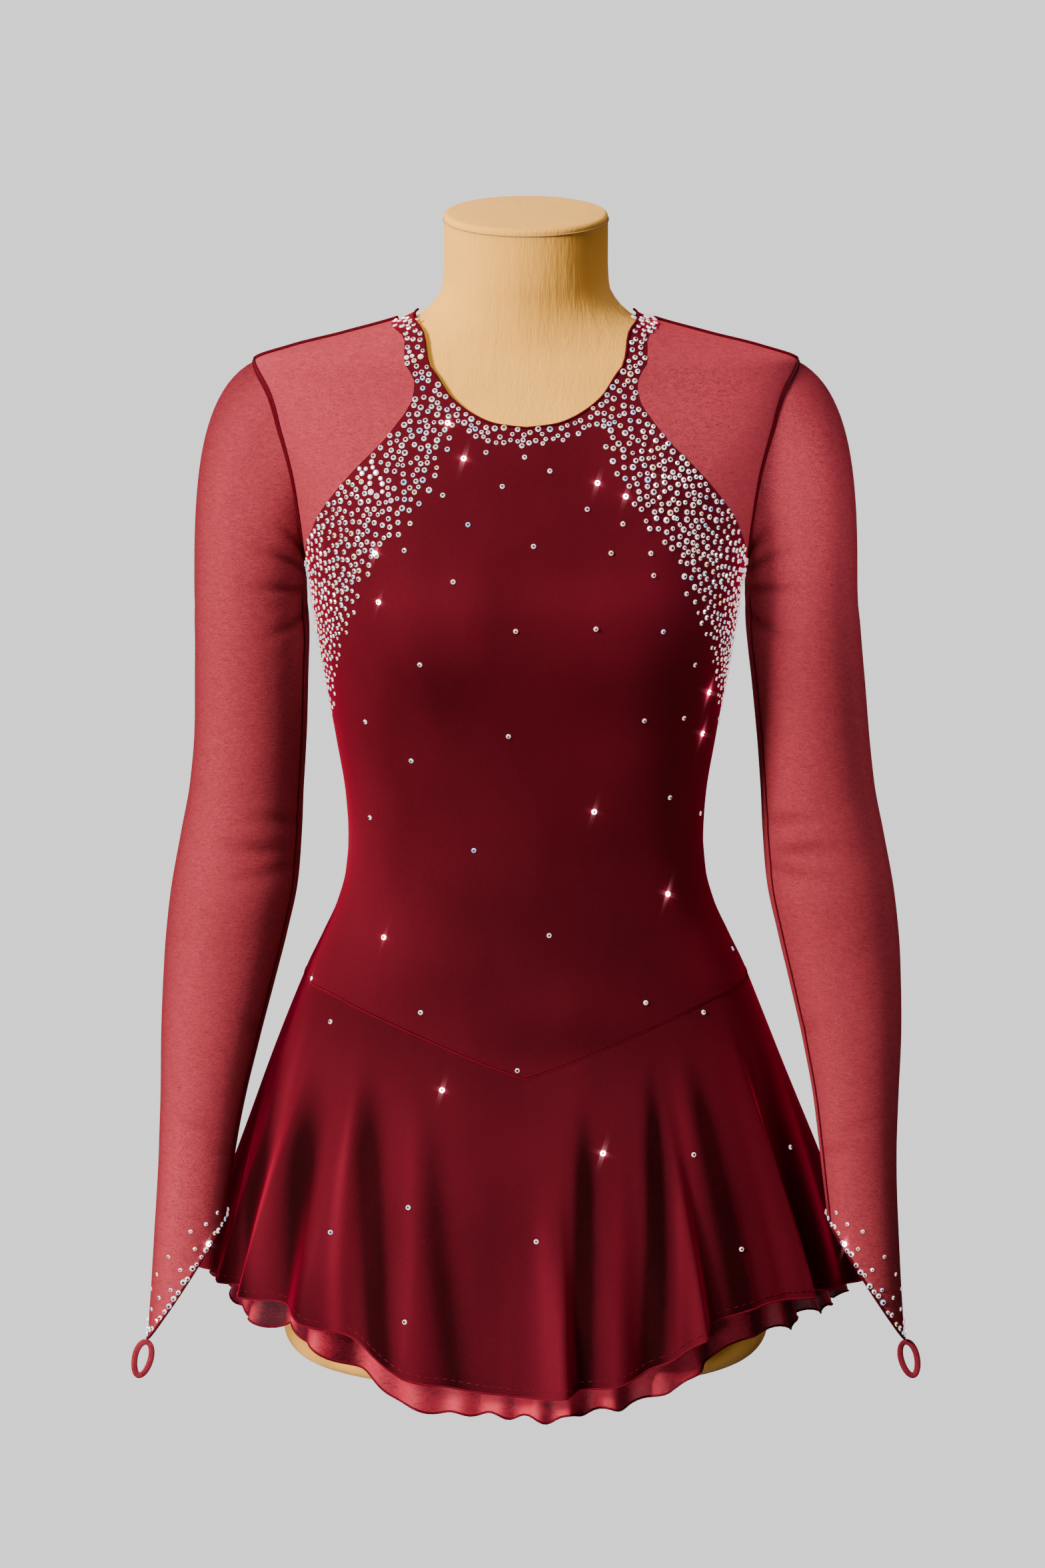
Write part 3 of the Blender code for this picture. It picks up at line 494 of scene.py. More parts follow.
def mesh_finish():
    made, tree, shader = start_material("wine_stretch_mesh", 0.60, 0.12, (1.0, 0.07, 0.10),
                                        gloss=0.0)
    crepe = place_group(tree, CREPE_GROUP, Crinkle_Scale=460.0, Hole_Scale=1100.0)
    colour = blend_colours(tree, spread(tree, crepe["Crinkle"], 0.25, 0.75),
                           (0.20, 0.0225, 0.0320), (0.335, 0.0385, 0.0550))
    # Painted shade: the stored value darkens the mesh to a deep wine on its sides and in its
    # creases.
    colour = blend_colours(tree, painted_light_value(tree), (0.022, 0.0012, 0.0024), colour)
    cover(tree, shader, colour, crepe["Crinkle"], 0.60, 0.0005)
    open_up(tree, shader, crepe["Holes"], 0.90, 0.66)
    return made


def sheer_finish():
    made, tree, shader = start_material("wine_sheer_cloth", 0.50, 0.15, (1.0, 0.1, 0.3), 0.4)
    crepe = place_group(tree, CREPE_GROUP, Crinkle_Scale=420.0, Hole_Scale=1300.0)
    # Painted light and shade: the sheer's colour follows the value stored on the piece, with the
    # crinkle's own unevenness added.
    tone_and_painted_light = add_math(tree, "ADD", painted_light_value(tree),
                   spread(tree, crepe["Crinkle"], 0.30, 0.70, -0.12, 0.12))
    colour = blend_colours(tree, spread(tree, tone_and_painted_light, 0.0, 1.0),
                           (0.05, 0.0012, 0.0060), (0.42, 0.0200, 0.0420))
    cover(tree, shader, colour, crepe["Crinkle"], 0.35, 0.0005)
    open_up(tree, shader, crepe["Holes"], 0.92, 0.76)
    return made


def jersey_finish():
    made, tree, shader = start_material("tan_jersey", 0.78, 0.12, (0.8, 0.70, 0.66), 0.6, 0.0)
    knit = place_group(tree, KNIT_GROUP, Rib_Scale=520.0, Pull_Scale=90.0)
    colour = blend_colours(tree, spread(tree, knit["Clouds"], 0.3, 0.7),
                           (0.72, 0.330, 0.042), (0.81, 0.374, 0.056))
    relief = add_math(tree, "ADD", knit["Ribs"], add_math(tree, "MULTIPLY", knit["Pulls"], 1.6))
    cover(tree, shader, colour, relief, 0.60, 0.0008)
    return made


def trim_finish(name, dark, light, roughness):
    made, tree, shader = start_material(name, roughness, 0.1, (1.0, 0.05, 0.15), 0.4, 0.02)
    nap_and_painted_light = place_group(tree, NAP_GROUP, Patch_Scale=60.0, Pile_Scale=1500.0)
    colour = blend_colours(tree, spread(tree, nap_and_painted_light["Pile"], 0.35, 0.65), dark, light)
    cover(tree, shader, colour, nap_and_painted_light["Pile"], 0.4, 0.0003)
    return made


VELVET = velvet_finish()
MESH = mesh_finish()
SHEER = sheer_finish()
JERSEY = jersey_finish()
SEAM = trim_finish("dark_wine_seam", (0.046, 0.0010, 0.0034), (0.080, 0.0022, 0.0066), 0.60)
ROLLED = trim_finish("rolled_hem_thread", (0.070, 0.0020, 0.0070), (0.120, 0.0040, 0.0120), 0.5)
RIBBON = trim_finish("elastic_ribbon", (0.150, 0.010, 0.020), (0.240, 0.020, 0.034), 0.45)
THREAD = trim_finish("tan_thread", (0.30, 0.18, 0.08), (0.42, 0.26, 0.12), 0.7)
print("finishes made:", len(bpy.data.materials))

# %% [markdown]
# ## A sheet of cloth
#
# Each piece is one sheet of points, rows and faces, on the same surface as its solid but
# finer. Its open edges draw back by half a seam gap, and a Solidify modifier gives it the
# cloth's own thickness, inwards, so that the outer side stays where the solid's is.

# %% The sheet builder
SEAM_GAP = 0.0003
# How thick each cloth is
BODICE_CLOTH = 0.0007
MESH_CLOTH = 0.0004
SKIRT_CLOTH = 0.0006
SHEER_CLOTH = 0.0003
CUT_EDGE_TURN = math.radians(60)


class Sheet:
    """Collects the points and faces of one piece and makes the object from them."""

    def __init__(self):
        self.points, self.normals, self.faces, self.known = [], [], [], {}

    def add(self, point, normal=None):
        key = tuple(round(value, 6) for value in point)
        if key not in self.known:
            self.known[key] = len(self.points)
            self.points.append(Vector(point))
            self.normals.append(normal)
        return self.known[key]

    def grid(self, rows, closed=False):
        """Faces between rows of point numbers. Repeated points make triangles."""
        for low, high in zip(rows, rows[1:]):
            for i in range(len(low) if closed else len(low) - 1):
                j = (i + 1) % len(low)
                corners = list(dict.fromkeys((low[i], low[j], high[j], high[i])))
                if len(corners) > 2:
                    self.faces.append(corners)

    def fill_normals(self):
        sums = [Vector((0, 0, 0)) for _ in self.points]
        for face in self.faces:
            corners = [self.points[i] for i in face]
            area = Vector((0, 0, 0))
            for a, b in zip(corners[1:], corners[2:]):
                area += (a - corners[0]).cross(b - corners[0])
            for i in face:
                sums[i] += area
        self.normals = [normal or total.normalized() for normal, total in zip(self.normals, sums)]

    def open_edges(self):
        seen = {(a, b) for face in self.faces for a, b in zip(face, face[1:] + face[:1])}
        return sorted((a, b) for a, b in seen if (b, a) not in seen)

    def draw_back(self, gap):
        """Moves every open edge half a seam gap into its own piece."""
        moves = {}
        for a, b in self.open_edges():
            along = (self.points[b] - self.points[a]).normalized()
            for i in (a, b):
                moves.setdefault(i, []).append(self.normals[i].cross(along).normalized())
        for i, ways in moves.items():
            spread_out = max(1 + ways[0].dot(ways[1]), 0.06)
            self.points[i] = self.points[i] + (ways[0] + ways[1]) * (gap / 2 / spread_out)

    def push(self, lifts):
        """Moves each point along its normal by its own lift."""
        self.fill_normals()
        self.points = [point + lift * normal
                       for point, normal, lift in zip(self.points, self.normals, lifts)]

    def make(self, name, finish, thickness, nap_and_painted_light):
        """The object, with its painted light and shade as one value for each point, and its wall
        built inwards.
        """
        made = store_painted_light(make_mesh(name + "_cloth", self.points, self.faces, finish), nap_and_painted_light)
        wall = made.modifiers.new("cloth", "SOLIDIFY")
        wall.thickness = thickness
        wall.offset = -1.0
        built = made.evaluated_get(bpy.context.evaluated_depsgraph_get())
        made.data = bpy.data.meshes.new_from_object(built)
        made.modifiers.clear()
        made.data.set_sharp_from_angle(angle=CUT_EDGE_TURN)
        return made


def make_mesh(name, points, faces, finish):
    mesh = bpy.data.meshes.new(name)
    mesh.from_pydata([tuple(point) for point in points], [], faces)
    mesh.materials.append(finish)
    mesh.shade_smooth()
    made = bpy.data.objects.new(name, mesh)
    bpy.context.scene.collection.objects.link(made)
    return made


def store_painted_light(piece, values):
    """Stores the painted light and shade at each point, from 0 (painted shade) to 1 (full light),
    for its finish.
    """
    layer = piece.data.attributes.new("nap_and_painted_light", "FLOAT", "POINT")
    layer.data.foreach_set("value", [min(max(value, 0.0), 1.0) for value in values])
    return piece


def settle(piece, slot, *nodes):
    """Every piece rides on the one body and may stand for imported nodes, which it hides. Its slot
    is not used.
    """
    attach(piece, "root")
    if nodes:
        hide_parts(*nodes)
    return piece


def stacked(rows, closed=False, looped=False):
    """A sheet from rows of points. Closed rows are rings, which get two ends unless looped."""
    sheet = Sheet()
    width = len(rows[0])
    sheet.points = [point for row in rows for point in row]
    numbers = [list(range(i * width, (i + 1) * width)) for i in range(len(rows))]
    sheet.grid(numbers + numbers[:1] if looped else numbers, closed)
    if closed and not looped:
        sheet.faces += [numbers[0][::-1], numbers[-1]]
    return sheet


def tube(line, radius, sides=6, closed=False, flat=1.0):
    """A round or flattened tube along a line of points and normals."""
    rings = []
    for i, (point, normal) in enumerate(line):
        after = line[(i + 1) % len(line)][0] if closed or i + 1 < len(line) else point
        before = line[i - 1][0] if closed or i else point
        along = (after - before).normalized()
        across = normal.cross(along).normalized()
        out = along.cross(across).normalized()
        rings.append([point + radius * (math.cos(turn) * across + flat * math.sin(turn) * out)
                      for turn in round_angles(sides)])
    return stacked(rings, True, closed)


def join_parts(name, parts, finish, nap_and_painted_light=None):
    """One object from several sheets, with one painted light level all over if it is velvet."""
    points, faces = [], []
    for part in parts:
        start = len(points)
        points += part.points
        faces += [[start + i for i in face] for face in part.faces]
    made = make_mesh(name, points, faces, finish)
    return made if nap_and_painted_light is None else store_painted_light(made, [nap_and_painted_light] * len(points))


# %% [markdown]
# ## Soft creases
#
# Worn or dressed cloth is never quite even. A crease is a short line with a depth and a
# width: a ridge if it is positive, a trough if negative. A table of them is added to the
# smooth surface, with softly fading ends.

# %% Reading a table of creases
def crease_lift(rows, across, height, scale=1.0):
    """What the creases add at a place, given as a length across and a height."""
    total = 0.0
    for start_across, start_height, end_across, end_height, depth, width in rows:
        way_across = (end_across - start_across) * scale
        way_up = end_height - start_height
        length = way_across**2 + way_up**2
        from_across = (across - start_across) * scale
        from_up = height - start_height
        part = (from_across * way_across + from_up * way_up) / length
        if -0.3 < part < 1.3:
            off = abs(from_across * way_up - from_up * way_across) / math.sqrt(length)
            if off < 3 * width:
                fade = smooth_step(part + 0.3) * smooth_step(1.3 - part)
                total += depth * fade * math.exp(-(off / width) ** 2)
    return total


# Bodice creases: from x and height to x and height, depth and width
BODICE_CREASES = (
    (-0.126, 0.372, -0.085, 0.362, -0.0007, 0.0040),
    (-0.125, 0.396, -0.092, 0.400, -0.0006, 0.0045),
    (0.127, 0.380, 0.088, 0.372, -0.0007, 0.0045),
    (0.126, 0.404, 0.098, 0.414, -0.0005, 0.0040),
    (-0.144, 0.548, -0.108, 0.566, -0.0007, 0.0050),
    (0.144, 0.552, 0.106, 0.566, -0.0006, 0.0050),
    (-0.050, 0.296, -0.015, 0.270, 0.0005, 0.0050),
    (0.060, 0.300, 0.022, 0.272, 0.0005, 0.0050),
)
print("bodice creases:", len(BODICE_CREASES))

# %% [markdown]
# ## The bodice
#
# The bodice is cut from stretch velvet in two panels, front and back. It is built in columns
# that run from the hip seam up to a point on the top edge, so the panel has a true edge
# along every seam. The neck straps are a second, narrower grid that joins it.

# %% Front and back bodice panels
BODICE_ROWS = 64
# Painted light and painted shade on the front, and lighter and darker spots on the back: x,
# height, half width, half height, amount
FRONT_PAINTED_LIGHT_AND_SHADE = (
    (-0.046, 0.565, 0.034, 0.032, 0.20),
    (0.056, 0.560, 0.038, 0.036, 0.42),
    (0.010, 0.600, 0.050, 0.026, -0.10),
    (-0.100, 0.455, 0.020, 0.034, -0.12),
    (0.092, 0.562, 0.020, 0.036, 0.34),
    (0.072, 0.520, 0.022, 0.020, 0.16),
    (-0.088, 0.562, 0.022, 0.034, 0.16),
    (-0.022, 0.560, 0.022, 0.030, -0.12),
    (0.000, 0.645, 0.034, 0.030, -0.10),
    (0.000, 0.575, 0.020, 0.040, 0.08),
    (-0.058, 0.500, 0.034, 0.026, -0.16),
    (0.056, 0.494, 0.028, 0.018, -0.12),
    (-0.010, 0.335, 0.050, 0.046, -0.22),
    (0.056, 0.385, 0.036, 0.040, -0.14),
    (0.060, 0.318, 0.040, 0.034, -0.12),
    (0.074, 0.470, 0.034, 0.040, 0.26),
    (0.128, 0.360, 0.012, 0.060, 0.20),
    (0.110, 0.400, 0.022, 0.050, 0.20),
    (-0.040, 0.290, 0.060, 0.024, -0.12),
    (-0.105, 0.330, 0.030, 0.034, 0.10),
    (-0.124, 0.385, 0.016, 0.034, 0.20),
    (-0.112, 0.430, 0.022, 0.030, 0.06),
    (0.135, 0.310, 0.024, 0.040, 0.14),
    (0.020, 0.256, 0.060, 0.018, -0.20),
    (0.100, 0.300, 0.030, 0.030, -0.08),
    (-0.064, 0.425, 0.034, 0.034, -0.08),
    (-0.050, 0.345, 0.034, 0.034, -0.08),
)
BACK_LIGHT_AND_DARK_SPOTS = (
    (-0.060, 0.620, 0.040, 0.040, 0.14),
    (0.062, 0.600, 0.040, 0.044, 0.10),
    (0.000, 0.520, 0.030, 0.060, -0.12),
    (-0.050, 0.400, 0.040, 0.050, -0.08),
    (0.048, 0.330, 0.040, 0.040, 0.12),
)
BODICE_PLAIN_LEVEL = 0.48


def bodice_painted_light(spots, point):
    total = BODICE_PLAIN_LEVEL
    for x, height, half, tall, amount in spots:
        off = ((point.x - x) / half) ** 2 + ((point.z - height) / tall) ** 2
        total += amount * math.exp(-off)
    return total


def on_body(sheet, place, side=1):
    angle = place[0] * side
    return sheet.add(body_outline(angle, place[1]), body_normal(angle, place[1]))


def body_row(sheet, start, end, steps, side):
    """Point numbers on the body, evenly from one place to another."""
    return [on_body(sheet, between(start, end, i / steps), side) for i in range(steps + 1)]


def bodice(name, seams, behind):
    """The body panel from the hip seam up to the underarms, halter edge and neckline."""
    foot = [between(seams.halter[-1], seams.neckline[-1], i / STRAP_WIDTH_STEPS)
            for i in range(STRAP_WIDTH_STEPS + 1)]
    top = seams.underarm + seams.halter[1:] + foot[1:] + seams.neckline[::-1][1:]
    middle = math.pi if behind else 0.0
    angles = [QUARTER + (middle - QUARTER) * i / (len(top) - 1) for i in range(len(top))]
    sheet = Sheet()
    right, left = [[body_row(sheet, (angle, hip_height(angle)), end, BODICE_ROWS, side)
                    for angle, end in zip(angles, top)] for side in (1, -1)]
    first, second = (right, left) if behind else (left, right)
    across = first + second[::-1][1:]
    sheet.grid([[column[k] for column in across] for k in range(BODICE_ROWS + 1)])
    for side in (1, -1):
        rows = [body_row(sheet, outer, inner, STRAP_WIDTH_STEPS, side)
                for outer, inner in zip(seams.strap_outer, seams.strap_inner)]
        sheet.grid(rows if (side < 0) != behind else [row[::-1] for row in rows])
    sheet.draw_back(SEAM_GAP)
    sheet.push([crease_lift(BODICE_CREASES, point.x, point.z) for point in sheet.points])
    # The velvet's painted light and shade, from the spots above.
    spots = BACK_LIGHT_AND_DARK_SPOTS if behind else FRONT_PAINTED_LIGHT_AND_SHADE
    nap_and_painted_light = [bodice_painted_light(spots, point) for point in sheet.points]
    made = settle(sheet.make(name, VELVET, BODICE_CLOTH, nap_and_painted_light), "bodice_velvet", name)
    print(made.name, "faces:", len(made.data.polygons))


bodice("bodice_front", front_seams, False)
bodice("bodice_back", back_seams, True)

# %% [markdown]
# ## The mesh yokes
#
# The shoulders are four small insets of stretch mesh between the halter edge and the
# armhole. They are stretched flat, so they follow the body with no crease of their own.

# %% Four shoulder insets
YOKE_COLUMNS = 18


def yoke(name, seams, side, behind):
    sheet = Sheet()
    rows = [body_row(sheet, inner, outer, YOKE_COLUMNS, side)
            for inner, outer in zip(seams.whole_halter, seams.armhole)]
    sheet.grid(rows if (side > 0) != behind else [row[::-1] for row in rows])
    sheet.draw_back(SEAM_GAP)
    nap_and_painted_light = [1.0] * len(sheet.points)
    settle(sheet.make(name, MESH, MESH_CLOTH, nap_and_painted_light), "stretch_mesh", name)


for word, side in SIDES:
    yoke("yoke_front_" + word, front_seams, side, False)
    yoke("yoke_back_" + word, back_seams, side, True)
    print("yokes made,", word)

# %% [markdown]
# ## The sleeves
#
# A sleeve is a tube whose middle line and width change with height. Its cap leaves the
# armhole along the shoulder and turns down into the arm, and its cuff is cut to a point over
# the hand. The creases fan out from the underarm and cross the inside of the elbow.

# %% Sleeve sizes
# Height, the middle's x and y, half width, half depth
SLEEVE = (
    (0.030, 0.2440, -0.088, 0.0240, 0.0250),
    (0.080, 0.2403, -0.078, 0.0246, 0.0255),
    (0.119, 0.2380, -0.068, 0.0251, 0.0265),
    (0.154, 0.2353, -0.058, 0.0266, 0.0285),
    (0.199, 0.2322, -0.045, 0.0300, 0.0320),
    (0.245, 0.2279, -0.032, 0.0356, 0.0370),
    (0.286, 0.2226, -0.020, 0.0404, 0.0410),
    (0.314, 0.2184, -0.013, 0.0432, 0.0435),
    (0.348, 0.2127, -0.007, 0.0450, 0.0455),
    (0.385, 0.2078, 0.001, 0.0432, 0.0455),
    (0.420, 0.2035, 0.004, 0.0407, 0.0445),
    (0.456, 0.2001, 0.004, 0.0400, 0.0440),
    (0.494, 0.1975, 0.003, 0.0402, 0.0440),
    (0.532, 0.1949, 0.002, 0.0405, 0.0445),
    (0.561, 0.1941, 0.002, 0.0395, 0.0445),
    (0.600, 0.1940, 0.002, 0.0395, 0.0440),
)
# Height, how far both sleeves lean to +X there
SLEEVE_SWAY = (
    (0.030, 0.0000),
    (0.120, 0.0005),
    (0.170, 0.0014),
    (0.210, 0.0028),
    (0.255, 0.0040),
    (0.320, 0.0047),
    (0.440, 0.0044),
    (0.520, 0.0018),
    (0.565, 0.0000),
    (0.800, 0.0000),
)
SLEEVE_CAP_END = 0.548
SLEEVE_CUT_START = 0.150
CUFF_INNER_HEIGHT = 0.119
CUFF_TIP_HEIGHT = 0.0372
CAP_ROWS = 26
ARM_ROWS = 110
CUFF_ROWS = 26
CAP_REACH = 0.30
CAP_SLOPE = 0.20
UNDERARM_LIFT = 0.0006
# Creases: from turn in degrees and height to turn and height, depth and width. Turn 0 is the
# outer side, 90 the front, 180 the body's side and 270 the back.
SLEEVE_CREASES = (
    (176, 0.577, 116, 0.606, -0.0019, 0.0026),
    (178, 0.570, 98, 0.592, -0.0018, 0.0028),
    (178, 0.560, 92, 0.566, -0.0017, 0.0030),
    (176, 0.547, 108, 0.530, -0.0015, 0.0034),
    (172, 0.530, 120, 0.500, 0.0007, 0.0045),
    (186, 0.575, 248, 0.604, -0.0010, 0.0030),
    (184, 0.566, 262, 0.584, -0.0009, 0.0034),
    (186, 0.552, 250, 0.546, -0.0008, 0.0036),
    (100, 0.404, 162, 0.396, -0.0012, 0.0045),
    (84, 0.384, 150, 0.376, -0.0014, 0.0050),
    (92, 0.362, 165, 0.366, -0.0011, 0.0045),
    (50, 0.330, 96, 0.312, 0.0006, 0.0060),
    (210, 0.398, 268, 0.386, -0.0007, 0.0050),
    (232, 0.372, 300, 0.380, -0.0006, 0.0050),
    (120, 0.262, 176, 0.246, -0.0006, 0.0045),
    (60, 0.196, 128, 0.184, -0.0006, 0.0040),
    (96, 0.176, 160, 0.168, -0.0006, 0.0035),
    (208, 0.200, 280, 0.192, -0.0006, 0.0045),
)
TURN_SIZE = 0.00072
CREASE_FREE_EDGE = 0.02
# How much painted shade darkens the mesh on the body's side, on the outer side and in a crease
INNER_SHADE = 0.24
OUTER_SHADE = 0.60
CREASE_SHADE = 330.0
print("sleeve creases:", len(SLEEVE_CREASES))


# %% Sleeve surfaces
def sleeve_point(turn, height):
    """A point on the right sleeve's tube: turn 0 is the outer side, then the front."""
    middle_x, middle_y, half, depth = eased(SLEEVE, height)
    return Vector((middle_x + half * math.cos(turn), middle_y - depth * math.sin(turn), height))


def sleeve_out(turn):
    return Vector((math.cos(turn), -math.sin(turn), 0.0))


def worn(point, side):
    """The right sleeve's point on its own side, leaning as the sleeves do."""
    point = point * Vector((side, 1, 1))
    return point + Vector((eased(SLEEVE_SWAY, point.z)[0], 0.0, 0.0))


def cuff_height(turn):
    middle = (CUFF_INNER_HEIGHT + CUFF_TIP_HEIGHT) / 2
    return middle - (CUFF_INNER_HEIGHT - CUFF_TIP_HEIGHT) / 2 * math.cos(turn)


def sleeve_cap_point(place, turn, part):
    """From the armhole out over the shoulder and into the tube of the arm."""
    under = (1 - math.cos(turn)) / 2
    out = Vector((0.97, 0.0, -0.24))
    way = out.lerp(Vector((0.0, 0.0, -1.0)), CAP_SLOPE + (1 - CAP_SLOPE) * under).normalized()
    start = body_point(*place, lift=UNDERARM_LIFT * under) + way * (SEAM_GAP / 2)
    end = sleeve_point(turn, SLEEVE_CAP_END)
    reach = (end - start).length * CAP_REACH
    leaving = (way + 0.25 * body_normal(*place) * math.sin(turn) ** 2).normalized()
    leave = start + leaving * reach
    arrive = end + Vector((-0.03, 0.0, 1.0)) * reach
    rest = 1 - part
    return (rest**3 * start + 3 * rest**2 * part * leave + 3 * rest * part**2 * arrive
            + part**3 * end)


def sleeve_painted_shade(degrees, lift):
    """Painted shade: darker on the body's side, darker on the outer side, partly the denser look
    of threads seen edge-on, and darker in the creases.
    """
    across = math.cos(math.radians(degrees))
    turned_away = (OUTER_SHADE if across > 0 else INNER_SHADE) * abs(across) ** 3
    return 1.0 - turned_away + CREASE_SHADE * min(lift, 0.0)


def sleeve(name, side):
    """A tube from the armhole to the pointed cuff, open at both ends."""
    places = front_seams.whole_armhole[::-1] + back_seams.whole_armhole[1:-1]
    turns = round_angles(len(places))
    rings = [[sleeve_cap_point(place, turn, row / CAP_ROWS) for place, turn in zip(places, turns)]
             for row in range(CAP_ROWS)]
    for row in range(ARM_ROWS):
        height = SLEEVE_CAP_END + (SLEEVE_CUT_START - SLEEVE_CAP_END) * row / ARM_ROWS
        rings.append([sleeve_point(turn, height) for turn in turns])
    for row in range(CUFF_ROWS + 1):
        rings.append([sleeve_point(turn, SLEEVE_CUT_START + (cuff_height(turn) - SLEEVE_CUT_START)
                                   * row / CUFF_ROWS) for turn in turns])
    sheet = Sheet()
    turn_at = {}
    numbers = []
    for ring in rings:
        row = [sheet.add(worn(point, side)) for point in ring]
        turn_at.update(zip(row, (math.degrees(turn) for turn in turns)))
        numbers.append(row[::-1] if side < 0 else row)
    sheet.grid(numbers, closed=True)
    lifts = [crease_lift(SLEEVE_CREASES, turn_at[i], point.z, TURN_SIZE)
             * smooth_step((point.z - cuff_height(math.radians(turn_at[i]))) / CREASE_FREE_EDGE)
             for i, point in enumerate(sheet.points)]
    at_armhole = set(numbers[0])
    sheet.push([0.0 if i in at_armhole else lift for i, lift in enumerate(lifts)])
    # Painted shade on the sleeve's mesh.
    nap_and_painted_light = [sleeve_painted_shade(turn_at[i], lift) for i, lift in enumerate(lifts)]
    made = settle(sheet.make(name, MESH, MESH_CLOTH, nap_and_painted_light), "stretch_mesh", name)
    print(made.name, "faces:", len(made.data.polygons))


for word, side in SIDES:
    sleeve("sleeve_" + word, side)

# %% [markdown]
# ## The skirt
#
# The skirt hangs from the hip seam in two layers: a soft opaque one, and a longer sheer one
# under it. Both flare from the seam to the hem, and the folds grow from nothing at the seam
# to their full depth at the hem. A fold table gives each ridge and trough by its angle, so
# that a fold can be moved without touching the others. A narrow crest on each ridge gives
# the thin bright lines that light draws on hanging cloth.

# %% Skirt tables
# The hem's plain oval
HEM_HALF = 0.2330
HEM_FRONT = 0.1700
HEM_BACK = 0.1640
HEM_SQUARE = 2.1
HEM_BULGE = 0.25
# Angle in degrees, height of the outer hem, height of the sheer hem
HEMS = (
    (-180.0, 0.0400, 0.0240),
    (-135.0, 0.0460, 0.0310),
    (-105.0, 0.0600, 0.0500),
    (-90.0, 0.0660, 0.0610),
    (-75.0, 0.0710, 0.0650),
    (-60.0, 0.0740, 0.0545),
    (-45.0, 0.0725, 0.0530),
    (-35.0, 0.0620, 0.0400),
    (-25.0, 0.0430, 0.0190),
    (-15.0, 0.0290, 0.0080),
    (0.0, 0.0235, 0.0060),
    (10.0, 0.0265, 0.0080),
    (20.0, 0.0335, 0.0120),
    (27.0, 0.0520, 0.0260),
    (35.0, 0.0690, 0.0400),
    (45.0, 0.0770, 0.0540),
    (60.0, 0.0710, 0.0520),
    (75.0, 0.0620, 0.0500),
    (90.0, 0.0560, 0.0470),
    (105.0, 0.0530, 0.0410),
    (135.0, 0.0460, 0.0310),
    (180.0, 0.0400, 0.0240),
)
# The sheer layer: where it starts, how far inside it hangs, and its waves
UNDER_TOP = 0.085
UNDER_INSET_TOP = 0.0006
UNDER_INSET_HEM = 0.0075
SKIRT_WALL = 0.0010
UNDER_WAVE = 0.0022
UNDER_WAVES = 17
# The ridge's angle in degrees, how far it stands out and the length part where it
# begins, then the same for the trough after it
FOLDS = (
    (-84.0, 0.0060, 0.30, -76.0, -0.0060, 0.20),
    (-66.0, 0.0035, 0.25, -61.0, -0.0050, 0.20),
    (-54.5, 0.0100, 0.08, -47.0, -0.0050, 0.15),
    (-38.7, 0.0120, 0.10, -31.5, -0.0080, 0.15),
    (-20.5, 0.0060, 0.15, -13.0, -0.0050, 0.15),
    (-5.0, -0.0040, 0.30, -2.0, -0.0010, 0.30),
    (6.5, 0.0075, 0.20, 9.4, -0.0070, 0.35),
    (15.5, 0.0010, 0.20, 21.5, -0.0090, 0.20),
    (25.6, 0.0045, 0.45, 27.4, 0.0060, 0.40),
    (30.2, 0.0095, 0.05, 33.5, -0.0035, 0.05),
    (41.0, 0.0050, 0.20, 47.0, 0.0060, 0.10),
    (54.5, 0.0120, 0.05, 58.0, -0.0100, 0.05),
    (68.0, 0.0030, 0.10, 76.0, 0.0000, 0.05),
    (84.0, 0.0130, 0.05, 90.0, 0.0080, 0.05),
    (96.0, 0.0120, 0.05, 103.0, -0.0050, 0.10),
    (111.0, 0.0090, 0.12, 118.0, -0.0060, 0.15),
    (127.0, 0.0060, 0.20, 135.0, -0.0070, 0.20),
    (144.0, 0.0100, 0.10, 152.0, -0.0050, 0.20),
    (161.0, 0.0050, 0.25, 169.0, -0.0070, 0.20),
    (179.0, 0.0085, 0.15, 188.0, -0.0060, 0.20),
    (197.0, 0.0055, 0.20, 205.0, -0.0060, 0.15),
    (214.0, 0.0100, 0.10, 221.0, -0.0065, 0.20),
    (230.0, 0.0055, 0.25, 238.0, -0.0070, 0.15),
    (247.0, 0.0090, 0.12, 255.0, -0.0060, 0.20),
    (263.0, 0.0040, 0.30, 270.0, 0.0000, 0.30),
)
FOLD_DEPTH = 1.12
LOWEST_CREST = 0.003
# Painted light and painted shade lines on the front of the skirt: angle at the hem and at the
# seam, half width in degrees, amount, and the length part where the line begins
SKIRT_PAINTED_LINES = (
    (-70.0, -86.0, 6.0, -0.54, 0.10),
    (-54.8, -77.5, 4.0, -0.54, 0.08),
    (-51.6, -66.0, 2.6, 0.24, 0.00),
    (-42.0, -56.0, 4.2, -0.56, 0.20),
    (-34.2, -41.0, 1.0, 0.46, 0.18),
    (-25.2, -38.6, 3.4, -0.50, 0.10),
    (-18.8, -27.0, 1.6, 0.10, 0.10),
    (-12.4, -23.0, 2.6, -0.26, 0.12),
    (-5.0, -6.5, 6.0, -0.06, 0.15),
    (4.3, 2.0, 1.8, 0.24, 0.30),
    (5.6, 4.2, 0.6, 0.15, 0.50),
    (9.4, 13.0, 2.0, -0.64, 0.08),
    (15.6, 20.5, 1.8, 0.24, 0.25),
    (21.9, 29.4, 1.9, -0.66, 0.05),
    (26.0, 34.0, 0.8, 0.20, 0.30),
    (30.0, 36.0, 2.6, 0.28, 0.05),
    (39.0, 38.8, 2.6, -0.56, 0.06),
    (48.5, 53.0, 4.6, 0.26, 0.05),
    (53.3, 63.8, 0.8, 0.20, 0.05),
    (60.5, 71.0, 4.4, -0.50, 0.05),
    (75.0, 86.0, 10.0, -0.60, 0.00),
)
